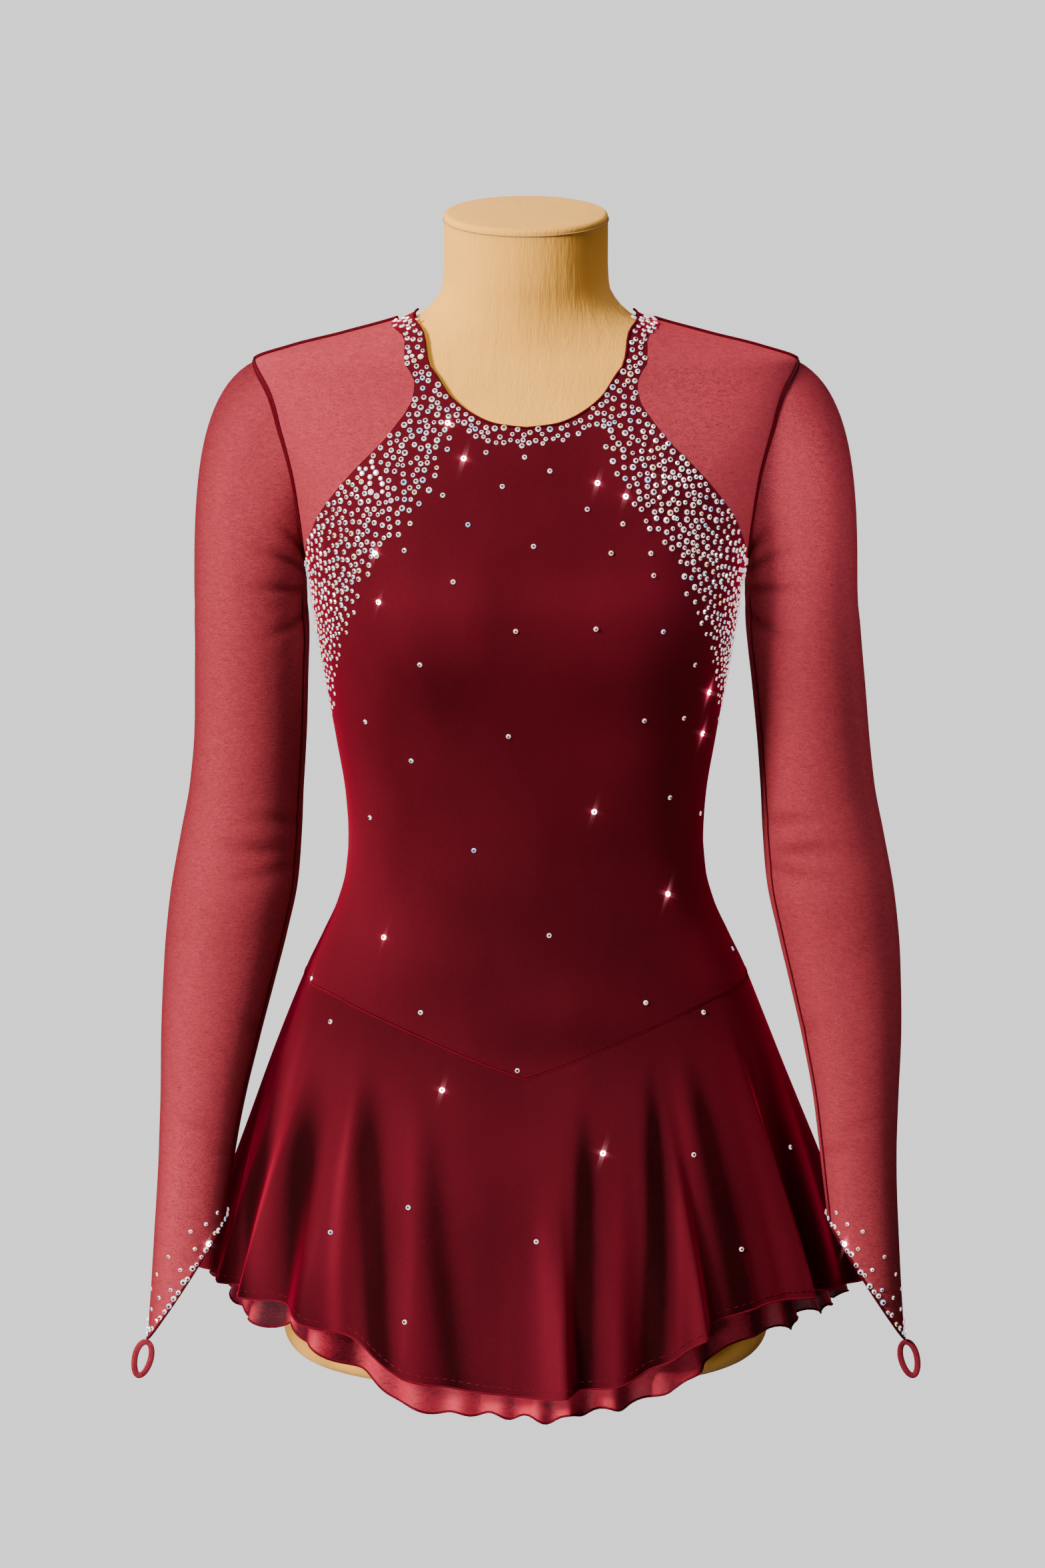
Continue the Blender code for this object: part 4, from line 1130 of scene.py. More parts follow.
# Levels of painted light and shade on the skirt's two layers
SKIRT_PLAIN_LEVEL = 0.39
RIDGE_PAINTED_LIGHT = 0.08
SHADE_GROWTH = 0.35
SEAM_SHADE = 0.06
UNDER_PLAIN = 0.28
UNDER_MIDDLE_PAINTED_LIGHT = 0.54
UNDER_SPREAD = 24.0
UNDER_WAVE_LIGHT_AND_SHADE = 0.52
RUFFLE_OUT = 0.0042
RUFFLE_UP = 0.0030
CREST_HEIGHT = 0.0009
CREST_WIDTH = math.radians(0.75)
SKIRT_COLUMNS = 300
SKIRT_ROWS = 56

# Every ridge and trough in order, with the last one again before and the first one after
stations = [(math.radians(row[at]), row[at + 1], row[at + 2]) for row in FOLDS for at in (0, 3)]
STATIONS = ([(stations[-1][0] - FULL_TURN, *stations[-1][1:])] + stations
            + [(stations[0][0] + FULL_TURN, *stations[0][1:])])
CRESTS = [(math.radians(row[0]), row[2]) for row in FOLDS if row[1] > LOWEST_CREST]
print("folds and crests:", len(FOLDS), len(CRESTS))


# %% Skirt surfaces
def fold_out(angle, part):
    """How far the skirt stands out from its plain cone at an angle and a length part."""
    low = 0
    while low < len(STATIONS) - 2 and STATIONS[low + 1][0] < angle:
        low += 1
    before, after = STATIONS[low], STATIONS[low + 1]
    mix = smooth_step((angle - before[0]) / (after[0] - before[0]))
    _, out, start = between(before, after, mix)
    return out * smooth_step((part - start) / (1.25 - start)) * FOLD_DEPTH


def crest_out(angle, part):
    total = 0.0
    for ridge, start in CRESTS:
        off = (angle - ridge) / CREST_WIDTH
        if abs(off) < 3:
            total += math.exp(-off * off) * smooth_step((part - start - 0.10) / 0.6)
    return CREST_HEIGHT * total


def ruffle(angle, shift=0.0):
    """The uneven small waves along the sheer hem, from -1 to 1."""
    size = 0.65 + 0.35 * math.sin(7 * angle + 0.9)
    return size * math.sin(47 * angle + 1.6 * math.sin(5 * angle) + shift)


def turned_degrees(angle):
    return math.degrees((angle + math.pi) % FULL_TURN - math.pi)


def hem_height(angle, under):
    turned = (math.degrees(angle) + 180) % 360 - 180
    return eased(HEMS, turned)[1 if under else 0]


def skirt_point(angle, part, under=False):
    """A point of a skirt layer: part 0 is the hip seam and 1 the hem."""
    top = body_outline(angle, hip_height(angle))
    hem_x, hem_y = oval(angle, HEM_HALF, HEM_FRONT, HEM_BACK, HEM_SQUARE)
    hem = Vector((hem_x, hem_y, hem_height(angle, under)))
    flare = part + HEM_BULGE * part * (1 - part)
    point = top.lerp(hem, flare)
    point.z = top.z + (hem.z - top.z) * part
    out = fold_out(angle, part)
    if under:
        below = (part - UNDER_TOP) / (1 - UNDER_TOP)
        inset = UNDER_INSET_TOP + (UNDER_INSET_HEM - UNDER_INSET_TOP) * below
        out = out * (1 - 0.25 * part) - inset - SKIRT_WALL
        out += UNDER_WAVE * part**3 * math.sin(UNDER_WAVES * angle)
        out += RUFFLE_OUT * part**8 * ruffle(angle)
        point.z += RUFFLE_UP * part**10 * ruffle(angle, 1.1)
    else:
        out += crest_out(angle, part)
    return point + out * Vector((math.sin(angle), -math.cos(angle), 0))


def skirt_normal(angle, part, under=False):
    small = math.radians(0.2)
    round_way = skirt_point(angle + small, part, under) - skirt_point(angle - small, part, under)
    up_way = (skirt_point(angle, max(part - 0.01, 0.0), under)
              - skirt_point(angle, min(part + 0.01, 1.0), under))
    return round_way.cross(up_way).normalized()


def skirt_painted_light(angle, part):
    """Painted light on ridges, painted shade in troughs and below the seam, and painted light and
    shade lines from a table.
    """
    ridge = min(max(fold_out(angle, part) / 0.010, -1.0), 1.0)
    total = SKIRT_PLAIN_LEVEL + RIDGE_PAINTED_LIGHT * ridge - SEAM_SHADE * smooth_step(1 - part / 0.22)
    turned = turned_degrees(angle)
    for hem, seam, half, amount, start in SKIRT_PAINTED_LINES:
        off = (turned - seam - (hem - seam) * part) / half
        if abs(off) < 3:
            total += amount * math.exp(-off * off) * smooth_step((part - start) / SHADE_GROWTH)
    return total


def under_painted_light(angle, part):
    """Painted light on the sheer layer, lighter in the front's middle, and lighter and darker
    along the hem's waves, partly the extra cloth seen where it turns in, partly painted shade.
    """
    off = turned_degrees(angle) / UNDER_SPREAD
    plain = UNDER_PLAIN + UNDER_MIDDLE_PAINTED_LIGHT * math.exp(-off * off)
    return plain + UNDER_WAVE_LIGHT_AND_SHADE * ruffle(angle, 1.1) * smooth_step((part - 0.7) / 0.2)


def skirt(name, first, under, finish, slot, thickness):
    """Half of a skirt layer between the side seams."""
    sheet = Sheet()
    numbers = []
    nap_and_painted_light = []
    angles = [first + math.pi * column / SKIRT_COLUMNS for column in range(SKIRT_COLUMNS + 1)]
    for row in range(SKIRT_ROWS + 1):
        part = row / SKIRT_ROWS
        part = UNDER_TOP + (1 - UNDER_TOP) * part if under else part
        numbers.append([sheet.add(skirt_point(angle, part, under)) for angle in angles])
        # The skirt's painted light and shade, one value for each point.
        nap_and_painted_light += [under_painted_light(angle, part) if under else skirt_painted_light(angle, part) for angle in angles]
    sheet.grid(numbers[::-1])
    sheet.fill_normals()
    sheet.draw_back(SEAM_GAP)
    made = settle(sheet.make(name, finish, thickness, nap_and_painted_light), slot, name)
    print(made.name, "faces:", len(made.data.polygons))


for layer, *cloth in (("outer", False, VELVET, "skirt_cloth", SKIRT_CLOTH),
                      ("under", True, SHEER, "skirt_sheer", SHEER_CLOTH)):
    skirt("skirt_" + layer + "_front", -QUARTER, *cloth)
    skirt("skirt_" + layer + "_back", QUARTER, *cloth)

# %% [markdown]
# ## Seams, bound edges and hems
#
# Sewing is what makes cloth look made. A seam in mesh shows as a dark line, because several
# layers of cloth meet in it. Rolled hems are thin cords along the edge, and the topstitching
# is a row of short dashes. All of them are laid on the pieces' own surfaces.

# %% Armhole and shoulder seams
CORD_LIFT = 0.0004
TAPE_WIDTHS = (0.0042, 0.0022)
TAPE_THICKNESS = 0.0003
TAPE_BULGE = 0.0004
SHOULDER_END = 0.1885
SHOULDER_STEPS = 40
BOTH_SEAMS = ((front_seams, 1), (back_seams, -1))


def body_line(places, side=1, lift=0.0):
    return [(body_point(angle * side, height, lift), body_normal(angle * side, height))
            for angle, height in places]


def tape(places, side, lift, inward):
    """A flat strip beside a seam, wider at its start than at its end."""
    rows = []
    for i, (angle, height) in enumerate(places):
        width = TAPE_WIDTHS[0] + (TAPE_WIDTHS[1] - TAPE_WIDTHS[0]) * i / (len(places) - 1)
        ahead = places[min(i + 1, len(places) - 1)]
        behind = places[max(i - 1, 0)]
        along = body_outline(ahead[0] * side, ahead[1]) - body_outline(behind[0] * side, behind[1])
        normal = body_normal(angle * side, height)
        across = normal.cross(along).normalized() * inward * side
        base = body_outline(angle * side, height)
        rows.append([base + across * width * part
                     + normal * (lift + TAPE_BULGE * math.sin(math.pi * part))
                     for part in (0.0, 0.25, 0.5, 0.75, 1.0)])
    return stacked(rows)


parts = [tube(body_line(seams.whole_armhole, side, CORD_LIFT), 0.0011, 8)
         for side in (1, -1) for seams, _ in BOTH_SEAMS]
settle(join_parts("armhole_seam_cords", parts, SEAM), "stretch_mesh")

parts = [tape(seams.armhole[::-1], side, CORD_LIFT, -inward)
         for side in (1, -1) for seams, inward in BOTH_SEAMS]
tapes = settle(join_parts("armhole_seam_tapes", parts, SEAM), "stretch_mesh")
wall = tapes.modifiers.new("tape", "SOLIDIFY")
wall.thickness = TAPE_THICKNESS
wall.offset = 0.0

reach = [HALTER_END + (SHOULDER_END - HALTER_END) * i / SHOULDER_STEPS
         for i in range(SHOULDER_STEPS + 1)]
places = [(QUARTER, ridge_height(x)) for x in reach]
parts = [tube(body_line(places, side, CORD_LIFT), 0.0016, 8) for side in (1, -1)]
settle(join_parts("shoulder_seams", parts, SEAM), "stretch_mesh")
print("armhole and shoulder seams made")

# %% Hip seam, neckline binding and sleeve seams
# Name, how far above the seam, painted light level: a painted highlight on the seam's lit edge
# and a painted shade line just above it
HIP_LINES = (("hip_seam_painted_highlight", 0.0000, 0.56), ("hip_seam_painted_shade", 0.0010, 0.12))
SLEEVE_SEAM_TURN = math.radians(158)
SLEEVE_SEAM_TOP = 0.560
SLEEVE_SEAM_LIFT = 0.0003
SEAM_STEPS = 120
CUFF_LIFT = 0.0005

hip_angles = [math.radians(degrees) for degrees in np.arange(-180.0, 180.0, 1.5)]
for name, rise, nap_and_painted_light in HIP_LINES:
    line = body_line([(angle, hip_height(angle) + rise) for angle in hip_angles])
    settle(join_parts(name, [tube(line, 0.0005, closed=True)], VELVET, nap_and_painted_light), "bodice_velvet")

parts = []
for seams, _ in BOTH_SEAMS:
    half = seams.whole_neckline
    places = [(-angle, height) for angle, height in half[::-1]] + half[1:]
    parts.append(tube(body_line(places), 0.0009, 8))
settle(join_parts("neckline_binding", parts, SEAM), "bodice_velvet")


def sleeve_line(turn, height, lift, side):
    """A point just off the sleeve, and the way out of the sleeve there."""
    out = sleeve_out(turn)
    return worn(sleeve_point(turn, height) + out * lift, side), out * Vector((side, 1, 1))


def sleeve_seam_line(side):
    line = []
    for step in range(SEAM_STEPS + 1):
        height = SLEEVE_SEAM_TOP + ((cuff_height(SLEEVE_SEAM_TURN) - SLEEVE_SEAM_TOP)
                                    * step / SEAM_STEPS)
        lift = crease_lift(SLEEVE_CREASES, math.degrees(SLEEVE_SEAM_TURN), height, TURN_SIZE)
        line.append(sleeve_line(SLEEVE_SEAM_TURN, height, SLEEVE_SEAM_LIFT + lift, side))
    return line


parts = [tube(sleeve_seam_line(side), 0.0007) for side in (1, -1)]
settle(join_parts("sleeve_seams", parts, SEAM), "stretch_mesh")
parts = [tube([sleeve_line(turn, cuff_height(turn) + CUFF_LIFT, 0.0, side)
               for turn in round_angles(SEAM_STEPS)], 0.0010, 8, closed=True) for side in (1, -1)]
settle(join_parts("cuff_bindings", parts, SEAM), "stretch_mesh")
print("hip seam, neckline binding, sleeve seams and cuff bindings made")

# %% Rolled hems and topstitching
HEM_ROLL_STEP = 0.8
STITCH_STEP = 0.35
STITCH_PLACE = 0.976
STITCH_DASH = 2


def hem_line(under, part, step_degrees, lift=0.0):
    line = []
    for degrees in np.arange(-90.0, 270.0, step_degrees):
        angle = math.radians(degrees)
        normal = skirt_normal(angle, part, under)
        line.append((skirt_point(angle, part, under) + normal * lift, normal))
    return line


outer_roll = tube(hem_line(False, 1.0, HEM_ROLL_STEP), 0.0006, closed=True)
settle(join_parts("outer_hem_roll", [outer_roll], VELVET, 0.6), "skirt_cloth")
under_roll = tube(hem_line(True, 1.0, HEM_ROLL_STEP), 0.0008, closed=True)
settle(join_parts("under_hem_roll", [under_roll], ROLLED), "skirt_sheer")
line = hem_line(False, STITCH_PLACE, STITCH_STEP, 0.0002)
parts = [tube(line[start:start + STITCH_DASH + 1], 0.00028, 4)
         for start in range(0, len(line) - STITCH_DASH, 2 * STITCH_DASH)]
settle(join_parts("outer_hem_stitches", parts, ROLLED), "skirt_cloth")
print("hem stitches:", len(parts))

# %% [markdown]
# ## Finger loops
#
# A small loop of elastic ribbon at each sleeve point goes round a finger and holds the point
# down. It is a flattened tube round a tilted oval, thicker where the ribbon turns over.

# %% Ribbon loops
LOOP_MIDDLE = (0.2712, -0.0875, 0.0222)
LOOP_PATH_HALF = (0.0056, 0.0124)
LOOP_LEAN = math.radians(14)
LOOP_STEPS = 72


def finger_loop(name, side):
    line = []
    for turn in round_angles(LOOP_STEPS):
        x = LOOP_PATH_HALF[0] * math.cos(turn) * (1.0 + 0.10 * math.sin(turn))
        z = LOOP_PATH_HALF[1] * math.sin(turn)
        leaned_x = x * math.cos(LOOP_LEAN) - z * math.sin(LOOP_LEAN)
        leaned_z = x * math.sin(LOOP_LEAN) + z * math.cos(LOOP_LEAN)
        point = Vector((side * (LOOP_MIDDLE[0] + leaned_x),
                        LOOP_MIDDLE[1] + 0.0008 * math.sin(turn), LOOP_MIDDLE[2] + leaned_z))
        line.append((point, Vector((0.25 * math.sin(turn) * side, -1.0, 0.0)).normalized()))
    loop = tube(line, 0.0022, 12, closed=True, flat=0.36)
    settle(join_parts(name + "_ribbon", [loop], RIBBON), "stretch_mesh", name)


for word, side in SIDES:
    finger_loop("cuff_loop_" + word, side)
    print("finger loop made,", word)

# %% [markdown]
# ## The dress form
#
# The form is a smooth body covered in tan jersey. Its surface lies a little under the cloth
# everywhere, so it is built from the same sections, set back by a fixed depth, with the same
# rounded base and the same forward tilt at the top of the neck.

# %% Form skin and neck cap
FORM_DEPTH = 0.0026
SHOULDER_DROP = 0.0026
BASE_ROUND = 0.022
NECK_TOP = 0.8165
NECK_TILT = math.radians(12.0)
NECK_TILT_START = 0.775
CAP_THICK = 0.0045
CAP_ROUND = 0.0030
FORM_COLUMNS = 128
FORM_ROWS = 170
BASE_STEPS = 10
CAP_STEPS = 6
FORM_EDGE_TURN = math.radians(50)


def tilted(point):
    """Leans the neck's top forward."""
    blend = smooth_step((point.z - NECK_TILT_START) / (NECK_TOP - NECK_TILT_START))
    return point + Vector((0, 0, point.y * math.tan(NECK_TILT) * blend))


def form_ring(height, inset=0.0):
    shoulder = smooth_step((height - 0.66) / 0.04) * smooth_step((0.765 - height) / 0.025)
    drop = Vector((0, 0, SHOULDER_DROP * shoulder))
    return [tilted(body_point(angle, height, -FORM_DEPTH - inset) - drop)
            for angle in round_angles(FORM_COLUMNS)]


def raised(ring, rise):
    return [point + Vector((0, 0, rise)) for point in ring]


def jersey_part(name, rings, node):
    made = join_parts(name, [stacked(rings, closed=True)], JERSEY)
    made.data.set_sharp_from_angle(angle=FORM_EDGE_TURN)
    print(name, "faces:", len(made.data.polygons))
    settle(made, "form_jersey", node)


rings = []
for step in range(BASE_STEPS):
    turn = QUARTER * step / BASE_STEPS
    rise = BASE_ROUND * (1 - math.cos(turn))
    ring = form_ring(rise, BASE_ROUND * (1 - math.sin(turn)))
    rings.append([Vector((point.x, point.y, rise)) for point in ring])
rings += [form_ring(BASE_ROUND + (NECK_TOP - BASE_ROUND) * row / FORM_ROWS)
          for row in range(FORM_ROWS + 1)]
jersey_part("dress_form_skin", rings, "dress_form")

# The cap's rings: how far up, how far in
cap_levels = [(0.0, 0.0), (CAP_THICK - CAP_ROUND, 0.0)]
for step in range(1, CAP_STEPS + 1):
    turn = QUARTER * step / CAP_STEPS
    cap_levels.append((CAP_THICK - CAP_ROUND * (1 - math.sin(turn)),
                       CAP_ROUND * (1 - math.cos(turn))))
cap_levels += [(CAP_THICK + 0.0002, 0.014), (CAP_THICK + 0.0003, 0.035)]
jersey_part("neck_cap_skin", [raised(form_ring(NECK_TOP, inset), SEAM_GAP + rise)
                              for rise, inset in cap_levels], "neck_cap")

neck_normals = [body_normal(angle, 0.80) for angle in round_angles(FORM_COLUMNS)]
line = list(zip(raised(form_ring(NECK_TOP, -0.0002), 0.0002), neck_normals))
settle(join_parts("neck_cap_seam", [tube(line, 0.0005, closed=True)], THREAD), "form_jersey")

# %% [markdown]
# ## Stones
#
# The dress sparkles with small glued stones. Each is a low cut cone: a short girdle, a ring
# of slanting crown faces that catch the light and also glow a little with painted light, and
# a flat darker table in the middle whose dark colour is a painted reflection. The dense bands
# are filled by trying random places and keeping those that are far enough from the ones
# already kept, which gives an even but unruly pattern, as hand work does.

# %% The stone's shape and finishes
STONE_SIDES = 8
# How wide and how high each level of a stone is, as shares of its radius
STONE_LEVELS = ((1.0, 0.0), (1.0, 0.22), (0.52, 0.62))
STONE_LIFT = 0.0002
# Name, darkest and lightest colour, roughness, painted glow as emission strength: the crown's
# white and glow are a painted highlight, the table's dark a painted reflection, the glint a
# painted glint
STONE_FACES = (
    ("stone_crown", (0.78, 0.56, 0.62), (1.0, 0.97, 0.98), 0.16, 0.95),
    ("stone_table", (0.02, 0.008, 0.012), (0.20, 0.13, 0.17), 0.08, 0.0),
    ("stone_glint", (1.0, 0.95, 0.95), (1.0, 1.0, 1.0), 0.10, 90.0),
)
# The share of the crowns that shimmer in another colour: from, to, colour
STONE_TINTS = (
    (0.30, 0.38, (0.50, 0.66, 1.00)),
    (0.52, 0.57, (0.60, 1.00, 0.86)),
    (0.70, 0.76, (1.00, 0.72, 0.42)),
)


def stone_finish(name, dark, light, roughness, glow):
    """White crown faces with a painted glow, a table darkened as a painted reflection, and the few
    star stones with a strong painted glow.
    """
    made, tree, shader = start_material(name, roughness)
    draw = add_node(tree, "ShaderNodeNewGeometry").outputs["Random Per Island"]
    colour = blend_colours(tree, draw, dark, light)
    for low, high, tint in STONE_TINTS if name == "stone_crown" else ():
        chosen = add_math(tree, "MULTIPLY", add_math(tree, "GREATER_THAN", draw, low),
                          add_math(tree, "LESS_THAN", draw, high))
        colour = blend_colours(tree, chosen, colour, tint)
    tree.links.new(colour, shader.inputs["Base Color"])
    shader.inputs["Metallic"].default_value = 0.55
    shader.inputs["Coat Weight"].default_value = 0.6
    # Painted light: the crowns and the star stones glow by emission, though they are no lamp.
    if glow:
        tree.links.new(colour, shader.inputs["Emission Color"])
        shader.inputs["Emission Strength"].default_value = glow
    if name == "stone_glint":
        tree.links.new(spread(tree, draw, 0.0, 1.0, 0.3 * glow, glow),
                       shader.inputs["Emission Strength"])
    return made


CROWN, TABLE, STAR = [stone_finish(*row) for row in STONE_FACES]
chance = random.Random(4811)


def stone(point, normal, radius, first_turn):
    side = normal.cross(Vector((0.31, 0.17, 0.93))).normalized()
    front = normal.cross(side)
    turns = [first_turn + turn for turn in round_angles(STONE_SIDES)]
    sheet = stacked([[point + radius * (scale * (math.cos(turn) * side + math.sin(turn) * front)
                                        + rise * normal) for turn in turns]
                     for scale, rise in STONE_LEVELS], closed=True)
    sheet.faces = [face[::-1] for face in sheet.faces]
    return sheet


def make_stones(name, places, slot, crown=CROWN):
    """One object from a list of point, normal and radius. A stone's last face is its table."""
    made = join_parts(name, [stone(*place, chance.random()) for place in places], crown)
    made.data.materials.append(TABLE)
    made.data.shade_flat()
    kinds = [0] * (2 * STONE_SIDES + 1) + [1]
    made.data.polygons.foreach_set("material_index", kinds * len(places))
    made.data.update()
    settle(made, slot)
    print(name + ":", len(places))


print("stone faces each:", 2 * STONE_SIDES + 2)

# %% [markdown]
# The bands: along the neckline and straps the stones fill the cloth. From the strap down to
# the underarm the band widens, and below the underarm it narrows along the side and ends
# above the waist. Near the band's inner edge, the stones grow sparse.

# %% Dense bands on the halter
# Height, the band's inner edge from the middle
BAND_INNER = (
    (0.455, 0.1360),
    (0.475, 0.1345),
    (0.510, 0.1290),
    (0.546, 0.1190),
    (0.580, 0.1060),
    (0.608, 0.0850),
    (0.629, 0.0690),
    (0.650, 0.0590),
    (0.668, 0.0500),
    (0.690, 0.0400),
    (0.715, 0.0400),
)
NECK_BAND = 0.0135
EDGE_MARGIN = 0.0017
BAND_LOWEST, BAND_HIGHEST = 0.462, 0.7500
BACK_BAND_LOWEST = 0.60
STRAP_FOOT = 0.715
BAND_RADIUS = 0.0018
RADIUS_CHANGES = (-0.0003, 0.0, 0.0, 0.0, 0.0003)


def dense_line(places, count=4):
    """Body points along a seam, with extra ones between."""
    line = []
    for start, end in zip(places, places[1:]):
        line += [body_outline(*between(start, end, k / count)) for k in range(count)]
    return np.array([tuple(point) for point in line + [body_outline(*places[-1])]])


def seam_table(places, column):
    """x and height along a seam, sorted by one of them: 0 is x and 1 is height."""
    rows = sorted(((body_outline(angle, height).x, height) for angle, height in places),
                  key=lambda row: (row[column], row[1 - column]))
    return zip(*rows)


def band_stones(seams, behind, tries, widest):
    """Stones of one right half, as angle, height and radius."""
    neck = dense_line(seams.whole_neckline)
    halter = dense_line(seams.whole_halter)
    limits, heights = seam_table(seams.whole_halter, 1)
    neck_across, neck_heights = seam_table(seams.whole_neckline, 0)
    kept = []
    kept_points = np.zeros((0, 3))
    kept_radii = np.zeros(0)
    for _ in range(tries):
        height = chance.uniform(BAND_LOWEST, BAND_HIGHEST)
        angle = chance.uniform(0.0, QUARTER)
        angle = math.pi - angle if behind else angle
        point = body_outline(angle, height)
        place = np.array(tuple(point))
        from_neck = np.min(np.linalg.norm(neck - place, axis=1))
        from_halter = np.min(np.linalg.norm(halter - place, axis=1))
        if height > heights[0] and point.x > np.interp(height, heights, limits):
            continue
        if height > np.interp(point.x, neck_across, neck_heights):
            continue
        if from_neck < EDGE_MARGIN or from_halter < EDGE_MARGIN:
            continue
        inside_neck = from_neck < NECK_BAND or height > STRAP_FOOT
        depth = point.x - eased(BAND_INNER, height)[0]
        in_width = depth > 0 and (not behind or from_halter < widest)
        inside_band = in_width and height < STRAP_FOOT
        if behind and height < BACK_BAND_LOWEST:
            continue
        if not (inside_neck or inside_band):
            continue
        sparse = 0.0 if inside_neck else smooth_step(1 - depth / 0.012)
        if chance.random() < 0.85 * sparse:
            continue
        low_side = smooth_step((0.575 - height) / 0.04)
        radius = BAND_RADIUS - 0.0004 * low_side + chance.choice(RADIUS_CHANGES)
        turned_away = smooth_step((point.x - 0.118) / 0.025)
        apart = (1.17 + 0.5 * sparse + 0.16 * turned_away) * (kept_radii + radius)
        if len(kept) and np.any(np.linalg.norm(kept_points - place, axis=1) < apart):
            continue
        kept.append((angle, height, radius))
        kept_points = np.vstack([kept_points, place])
        kept_radii = np.append(kept_radii, radius)
    return kept


# Name, seams, behind, tries, how wide the band may be
BANDS = (("front", front_seams, False, 26000, 1.0), ("back", back_seams, True, 9000, 0.016))
for word, side in SIDES:
    for half, *band in BANDS:
        places = [(body_point(angle * side, height, STONE_LIFT),
                   body_normal(angle * side, height), radius)
                  for angle, height, radius in band_stones(*band)]
        make_stones("stones_band_" + half + "_" + word, places, "bodice_velvet")

# %% [markdown]
# The scattered stones are set by hand, one by one, so their places are a table: millimetres
# from the middle and millimetres of height. The bodice's lie on the body surface. For the
# skirt, the place is looked for on the outer layer by small steps.

# %% Scattered stones on the bodice and skirt
BODICE_SCATTER = (
    (-16, 640), (16, 650), (-1, 659), (-27, 662), (-56, 634), (-39, 615), (-82, 597),
    (-49, 577), (41, 625), (65, 615), (84, 595), (57, 596), (86, 580), (109, 566), (-7, 544),
    (47, 545), (93, 541), (116, 515), (-123, 568), (-126, 546), (-111, 474), (-12, 469),
    (81, 478), (109, 477), (-79, 449), (100, 420), (-109, 404), (123, 403), (-36, 387),
    (16, 329), (147, 304), (-152, 285), (83, 281), (-73, 275), (-6, 237), (5, 601), (-72, 519),
    (-78, 615), (100, 618), (-2, 670),
)
BODICE_STARS = (
    (-53, 681), (-42, 658), (-102, 594), (-100, 561), (48, 642), (67, 633), (47, 414),
    (99, 352), (-99, 323), (123, 463), (127, 493),
)
BACK_SCATTER = (
    (-60, 655), (12, 668), (74, 640), (-22, 610), (40, 588), (-88, 572), (98, 560), (4, 540),
    (-54, 512), (62, 498), (-14, 460), (96, 450), (-100, 436), (30, 410), (-48, 372),
    (78, 352), (8, 330), (-96, 312), (44, 298), (-20, 280),
)
SKIRT_SCATTER = (
    (-137, 262), (124, 270), (187, 169), (116, 179), (-81, 147), (-135, 128), (149, 115),
    (7, 126), (-83, 73),
)
SKIRT_STARS = ((-58, 224), (53, 183))
SKIRT_BACK_SCATTER = (
    (-120, 240), (-30, 226), (66, 236), (130, 205), (-84, 176), (20, 160), (96, 140),
    (-150, 128), (-40, 104), (58, 84),
)
SCATTER_RADIUS = 0.0017
STAR_RADIUS = 0.0018


def in_metres(rows):
    return [(x / 1000, height / 1000) for x, height in rows]


def bodice_places(rows, radius, behind=False):
    places = []
    for x, height in in_metres(rows):
        angle = angle_across(x, height, behind)
        lift = STONE_LIFT + crease_lift(BODICE_CREASES, x, height)
        places.append((body_point(angle, height, lift), body_normal(angle, height), radius))
    return places


def skirt_places(rows, radius, behind=False):
    places = []
    for x, height in in_metres(rows):
        angle = math.pi - math.asin(x / 0.21) if behind else math.asin(x / 0.21)
        for _ in range(30):
            top = hip_height(angle)
            part = (top - height) / (top - hem_height(angle, False))
            off = x - skirt_point(angle, part).x
            angle += (-off if behind else off) / 0.20
        normal = skirt_normal(angle, part)
        places.append((skirt_point(angle, part) + STONE_LIFT * normal, normal, radius))
    return places


make_stones("stones_scatter_front", bodice_places(BODICE_SCATTER, SCATTER_RADIUS),
            "bodice_velvet")
make_stones("stones_star_front", bodice_places(BODICE_STARS, STAR_RADIUS), "bodice_velvet", STAR)
make_stones("stones_scatter_back", bodice_places(BACK_SCATTER, SCATTER_RADIUS, True),
            "bodice_velvet")
make_stones("stones_skirt", skirt_places(SKIRT_SCATTER, SCATTER_RADIUS)
            + skirt_places(SKIRT_BACK_SCATTER, SCATTER_RADIUS, True), "skirt_cloth")
make_stones("stones_star_skirt", skirt_places(SKIRT_STARS, STAR_RADIUS), "skirt_cloth", STAR)

# %% [markdown]
# On the sleeves, a row of stones follows the pointed edge all round, with a few loose ones
# above it and a cluster at the tip.

# %% Cuff stones
# Turn in degrees, height
CUFF_LOOSE = (
    (62, 0.100), (84, 0.092), (105, 0.106), (120, 0.122), (70, 0.078), (48, 0.071),
    (38, 0.086), (96, 0.118), (28, 0.061), (52, 0.056), (140, 0.128), (20, 0.074),
    (300, 0.090), (270, 0.104), (250, 0.118), (320, 0.070), (285, 0.082), (235, 0.128),
)
CUFF_STEP = 0.0056


